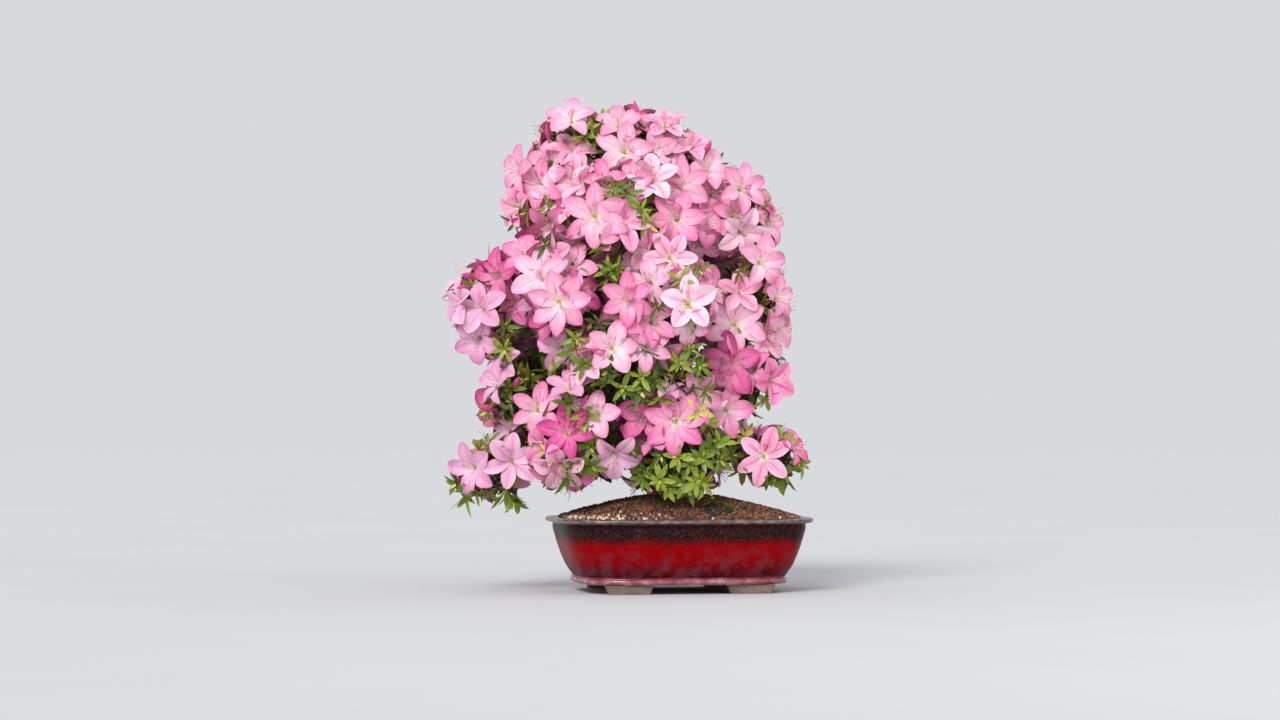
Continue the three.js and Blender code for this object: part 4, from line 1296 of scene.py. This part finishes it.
def above_soil(points):
    """Whether all points keep over the soil and the rim, or hang outside the pot."""
    x, y, _ = turned(points, FRONT_TURN).T
    clear = (points[:, 2] > LOWEST) & (points[:, 2] > soil_height(x, y) + 1)
    return bool(np.all(clear | (share_out(x, y) > 1.2)))


def pulled_in(base, facing, way, reach, rise):
    """The base of a flower or a whorl, moved inwards until its rim keeps to the crown, or None."""
    angles = np.arange(10) * math.pi / 5
    frame_rows = upright_on(facing)
    rim = reach * (np.cos(angles)[:, None] * frame_rows[0] + np.sin(angles)[:, None] * frame_rows[1])
    rim = rim + facing * rise
    for _ in range(PULLS):
        base = base + [0, 0, max(0.0, LOWEST + 1 - (base + rim)[:, 2].min())]
        if crown_depth(base + rim).max() < CROWN_REACH and in_outline(on_grid(base + rim)):
            return base
        base = base - way * PULL
    return None


def bear_flower(heaps, bearer, base, facing, tint, rng, reach, count, roll, opened):
    """A flower with its neck and its twig."""
    add_flower(heaps, base, facing, tint, rng, reach, count, roll, opened)
    neck = base - facing * 9
    heaps["twigs"].add(*tube(bezier([neck, base], 3), [0.8, 1.0, 1.7], 5), GREEN)
    add_twig(heaps, bearer, neck, facing, rng, FLOWER_TWIG)
    return neck


def bear_whorl(heaps, bearer, base, facing, rng, tint, size=1.0, tilt=1.0):
    add_twig(heaps, bearer, base, facing, rng, WHORL_TWIG)
    add_whorl(heaps["leaves"], base, facing, rng, tint, size, tilt)


def grow_flower(heaps, bearer, site, rng):
    facing = facing_of(site, rng)
    reach = rng.uniform(*FLOWER_REACH)
    opened = rng.uniform(*OPENED)
    count = rng.choice(list(PETAL_COUNTS), p=list(PETAL_COUNTS.values()))
    roll = rng.uniform(0, 6)
    start = site.place - facing * FLOWER_RISE
    base = pulled_in(start, facing, site.way, reach * opened * 0.98, FLOWER_RISE)
    if base is None:
        return
    neck = bear_flower(heaps, bearer, base, facing, tint_for(site, rng), rng, reach, count, roll, opened)
    if rng.random() < 1.3 - MASSES[site.mass][2]:
        tint = rng.choice(len(LEAF_TINTS), p=LEAF_ODDS)
        add_whorl(heaps["leaves"], neck, facing, rng, tint, 0.85, 1.15)


def grow_whorl(heaps, bearer, site, rng):
    facing = facing_of(site, rng, 0.5, 0.3)
    base = pulled_in(site.place - facing * WHORL_SUNK, facing, site.way, WHORL_REACH, WHORL_RISE)
    if base is None or not above_soil((base - facing * 4 + [0, 0, -6])[None]):
        return
    bear_whorl(heaps, bearer, base, facing, rng, rng.choice(len(LEAF_TINTS), p=LEAF_ODDS))


def facing_shown(right, up):
    """The way faced by what is turned so many degrees from the viewer."""
    right, up = math.radians(right), math.radians(up)
    return np.array([math.sin(right) * math.cos(up), -math.cos(right) * math.cos(up), math.sin(up)])


def roll_shown(facing, first):
    """The roll that points the first petal so many degrees clockwise from up, in the front view."""
    wanted = np.array([math.sin(math.radians(first)), 0, math.cos(math.radians(first))])
    side, over, _ = upright_on(facing)
    return math.atan2(wanted @ over, wanted @ side)


def grow_shown_flower(heaps, bearer, site, flower, behind, rng):
    _, _, reach, right, up, first, count, tint = flower
    facing = facing_shown(right, up)
    base = site.place + [0, 8 + behind, 0] - facing * 7
    roll = roll_shown(facing, first)
    bear_flower(heaps, bearer, base, facing, tint, rng, reach * STEP, count, roll, rng.uniform(0.97, 1.03))


def behind_others(index):
    """How far back a shown flower sits, so that those before it in the list overlap it."""
    x, y, reach = SHOWN[index][:3]
    over = [math.hypot(x - a, y - b) < 0.72 * (reach + c) for a, b, c, *_ in SHOWN[:index]]
    return min(5 * sum(over), 20)


def shown_on(name, spots):
    """The spots of a list that lie on this mass, with the site of each."""
    for spot in spots:
        site = shown_site(*spot[:2])
        if site.mass == name:
            yield site, spot


def grow_shown(heaps, bearer, name, rng):
    """The flowers, buds and whorls that the front view shows, as far as this mass bears them."""
    for site, flower in shown_on(name, SHOWN):
        grow_shown_flower(heaps, bearer, site, flower, behind_others(SHOWN.index(flower)), rng)
    for site, flower in shown_on(name, BURIED):
        grow_shown_flower(heaps, bearer, site, flower, BURIED_DEPTH, rng)
    for site, (_, _, right, up) in shown_on(name, SHOWN_BUDS):
        facing = facing_shown(right, up)
        base = site.place + [0, 4, 0] - facing * 8
        add_bud(heaps["petals"], base, facing, rng, "hot")
        add_twig(heaps, bearer, base, facing, rng, BUD_TWIG)
    for site, (_, _, right, up, tint) in shown_on(name, SHOWN_WHORLS):
        facing = facing_shown(right, up)
        size, tilt = (1.2, 0.45) if up < DROOPING else (0.85, 1.0)
        base = site.place + [0, 1, 0] - facing * 8
        if above_soil((base + [0, 0, -8])[None]):
            bear_whorl(heaps, bearer, base, facing, rng, tint, size, tilt)


def bare_spot(site):
    return near_spot(site.place, LEAFY + OPEN)


def plan_sites():
    """Sites for all masses: flowers, leaf whorls at the edge, sunk flowers and inner whorls."""
    def sites(*spacing):
        return [site for name in MASSES for site in sites_of(name, *spacing)]

    def bloom(site):
        return MASSES[site.mass][2]

    flowers, whorls = [], []
    shown = [shown_site(*flower[:2]) for flower in SHOWN]
    spots = shown + [shown_site(*whorl[:2]) for whorl in SHOWN_WHORLS]
    closed = [s for s in sites(*EDGE_SITES) if not near_spot(s.place, OPEN)]
    for site in thinned(closed, shown, FLOWER_GAP):
        blooms = site.draw() < bloom(site) and not bare_spot(site)
        (flowers if blooms else whorls).append(site)
    sunk = [s for s in sites(*SECOND_SITES) if s.draw() < bloom(s) and not bare_spot(s)]
    sunk = thinned(sunk, flowers + shown, SECOND_GAP)
    tufts = [s for name in MASSES for s in sites_of(name, 17, 400, 6 + 22 * MASSES[name][2], 0.8)]
    tufts = [s for s in tufts if s.draw() > bloom(s) - 0.12 and not near_spot(s.place, OPEN)]
    whorls += thinned(tufts, flowers + whorls + spots, WHORL_GAP)
    inner = thinned(sites(*INNER_SITES), [], INNER_GAP)
    return {"whorl": inner + whorls, "flower": flowers + sunk}


def make_zone(zone, names, plan, materials):
    heaps = {kind: Heap() for kind in KINDS}
    for name in names:
        rng = np.random.default_rng(CROWN_SEED + list(MASSES).index(name))
        bearer = Bearer(name)
        heaps["twigs"].add(*tube(bearer.stem, bearer.radii, 6), BROWN)
        for way in (spread(i, MAIN_TWIGS) for i in range(MAIN_TWIGS)):
            end = centre_of(name) + way * edge(name, way) * 0.62
            add_twig(heaps, bearer, end, unit(way + [0, 0, 0.3]), rng, MAIN_TWIG, 9, bears=True)
        grow_shown(heaps, bearer, name, rng)
        for kind, grow in (("whorl", grow_whorl), ("flower", grow_flower)):
            for site in plan[kind]:
                if site.mass == name:
                    grow(heaps, bearer, site, rng)
    for kind, slot in KINDS.items():
        made = heaps[kind].piece(f"{kind}_{zone}", materials[kind], from_tree)
        dress(made, slot, *["foliage_" + name for name in names])


def foliage_materials():
    petals = [petal_material(f"petal_{name}", colour) for name, colour in THROAT_COLOURS.items()]
    for ramp in RAMPS:
        petals += [petal_material(f"petal_{ramp}_{i}", c) for i, c in enumerate(ramp_tones(ramp))]
    stamens = [petal_material("stamen", "f3dccb"), petal_material("anther", "8a6a5c")]
    leaves = [
        plain_tone(f"leaf_{i}", colour, 0.36, 700, 0.2, Specular_IOR_Level=0.45)
        for i, colour in enumerate(LEAF_TINTS)
    ]
    twigs = [plain_tone(name, colour, 0.8, 1200, 0.5) for name, colour in TWIG_MATERIALS.items()]
    return {"petals": petals, "stamens": stamens, "leaves": leaves, "twigs": twigs}


# Floor, light and camera

FLOOR_HALF = 30  # metres
FLOOR_TONES = [(0.3, "cfd0d1"), (0.7, "d1d2d3")]
ROOM_COLOUR, ROOM_STRENGTH = (0.86, 0.87, 0.9, 1), 0.8
SUN_STRENGTH, SUN_SOFTNESS, SUN_WAY = 2.2, math.radians(25), (0.4, 1, -0.75)
FILL_POWER, FILL_SIZE, FILL_AT, FILL_AIM = 5, 1.4, (1300, -1300, 700), (-44, 0, 300)


def make_floor():
    finish = Finish("pale_floor", 0.9).set(Specular_IOR_Level=0)
    finish.colour(finish.ramp(finish.noise(3, 3), FLOOR_TONES))
    corners = np.array([[-1, -1, 0], [1, -1, 0], [1, 1, 0], [-1, 1, 0]]) * float(FLOOR_HALF)
    mesh_of("floor", corners, np.array([[0, 1, 2, 3]]), [finish.material], smooth=False)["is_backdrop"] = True


def make_lights():
    world = bpy.data.worlds.new("studio")
    world.use_nodes = True
    background = next(n for n in world.node_tree.nodes if n.type == "BACKGROUND")
    background.inputs["Color"].default_value = ROOM_COLOUR
    background.inputs["Strength"].default_value = ROOM_STRENGTH
    bpy.context.scene.world = world
    fill = bpy.data.lights.new("fill", "AREA")
    fill.shape, fill.size, fill.energy = "DISK", FILL_SIZE, FILL_POWER
    place, aim = from_tree([FILL_AT, FILL_AIM])
    put("fill", fill, place, aim - place)
    sun = bpy.data.lights.new("key", "SUN")
    sun.energy, sun.angle = SUN_STRENGTH, SUN_SOFTNESS
    put("key", sun, ahead=turned(SUN_WAY, FRONT_TURN))


def make_camera():
    camera = bpy.data.cameras.new("camera")
    camera.lens = CAMERA_LENS
    camera.sensor_width = 36
    camera.clip_end = 200
    ahead = turned(CAMERA_AIM - CAMERA_AT, FRONT_TURN)
    bpy.context.scene.camera = put("camera", camera, from_tree(CAMERA_AT), ahead)
    bpy.context.scene.view_settings.view_transform = "Standard"


def write_sizes():
    corners = {"cad": cad_bounds, "visual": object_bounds()}
    sizes = {name: [list(corner) for corner in pair] for name, pair in corners.items()}


make_floor()
make_lights()
make_camera()
make_pot()
make_feet(clay_material())
make_soil()
bark = bark_material()
make_trunk(bark)
make_boughs(bark)
plan = plan_sites()
materials = foliage_materials()
for zone, names in ZONES.items():
    make_zone(zone, names, plan, materials)
write_sizes()
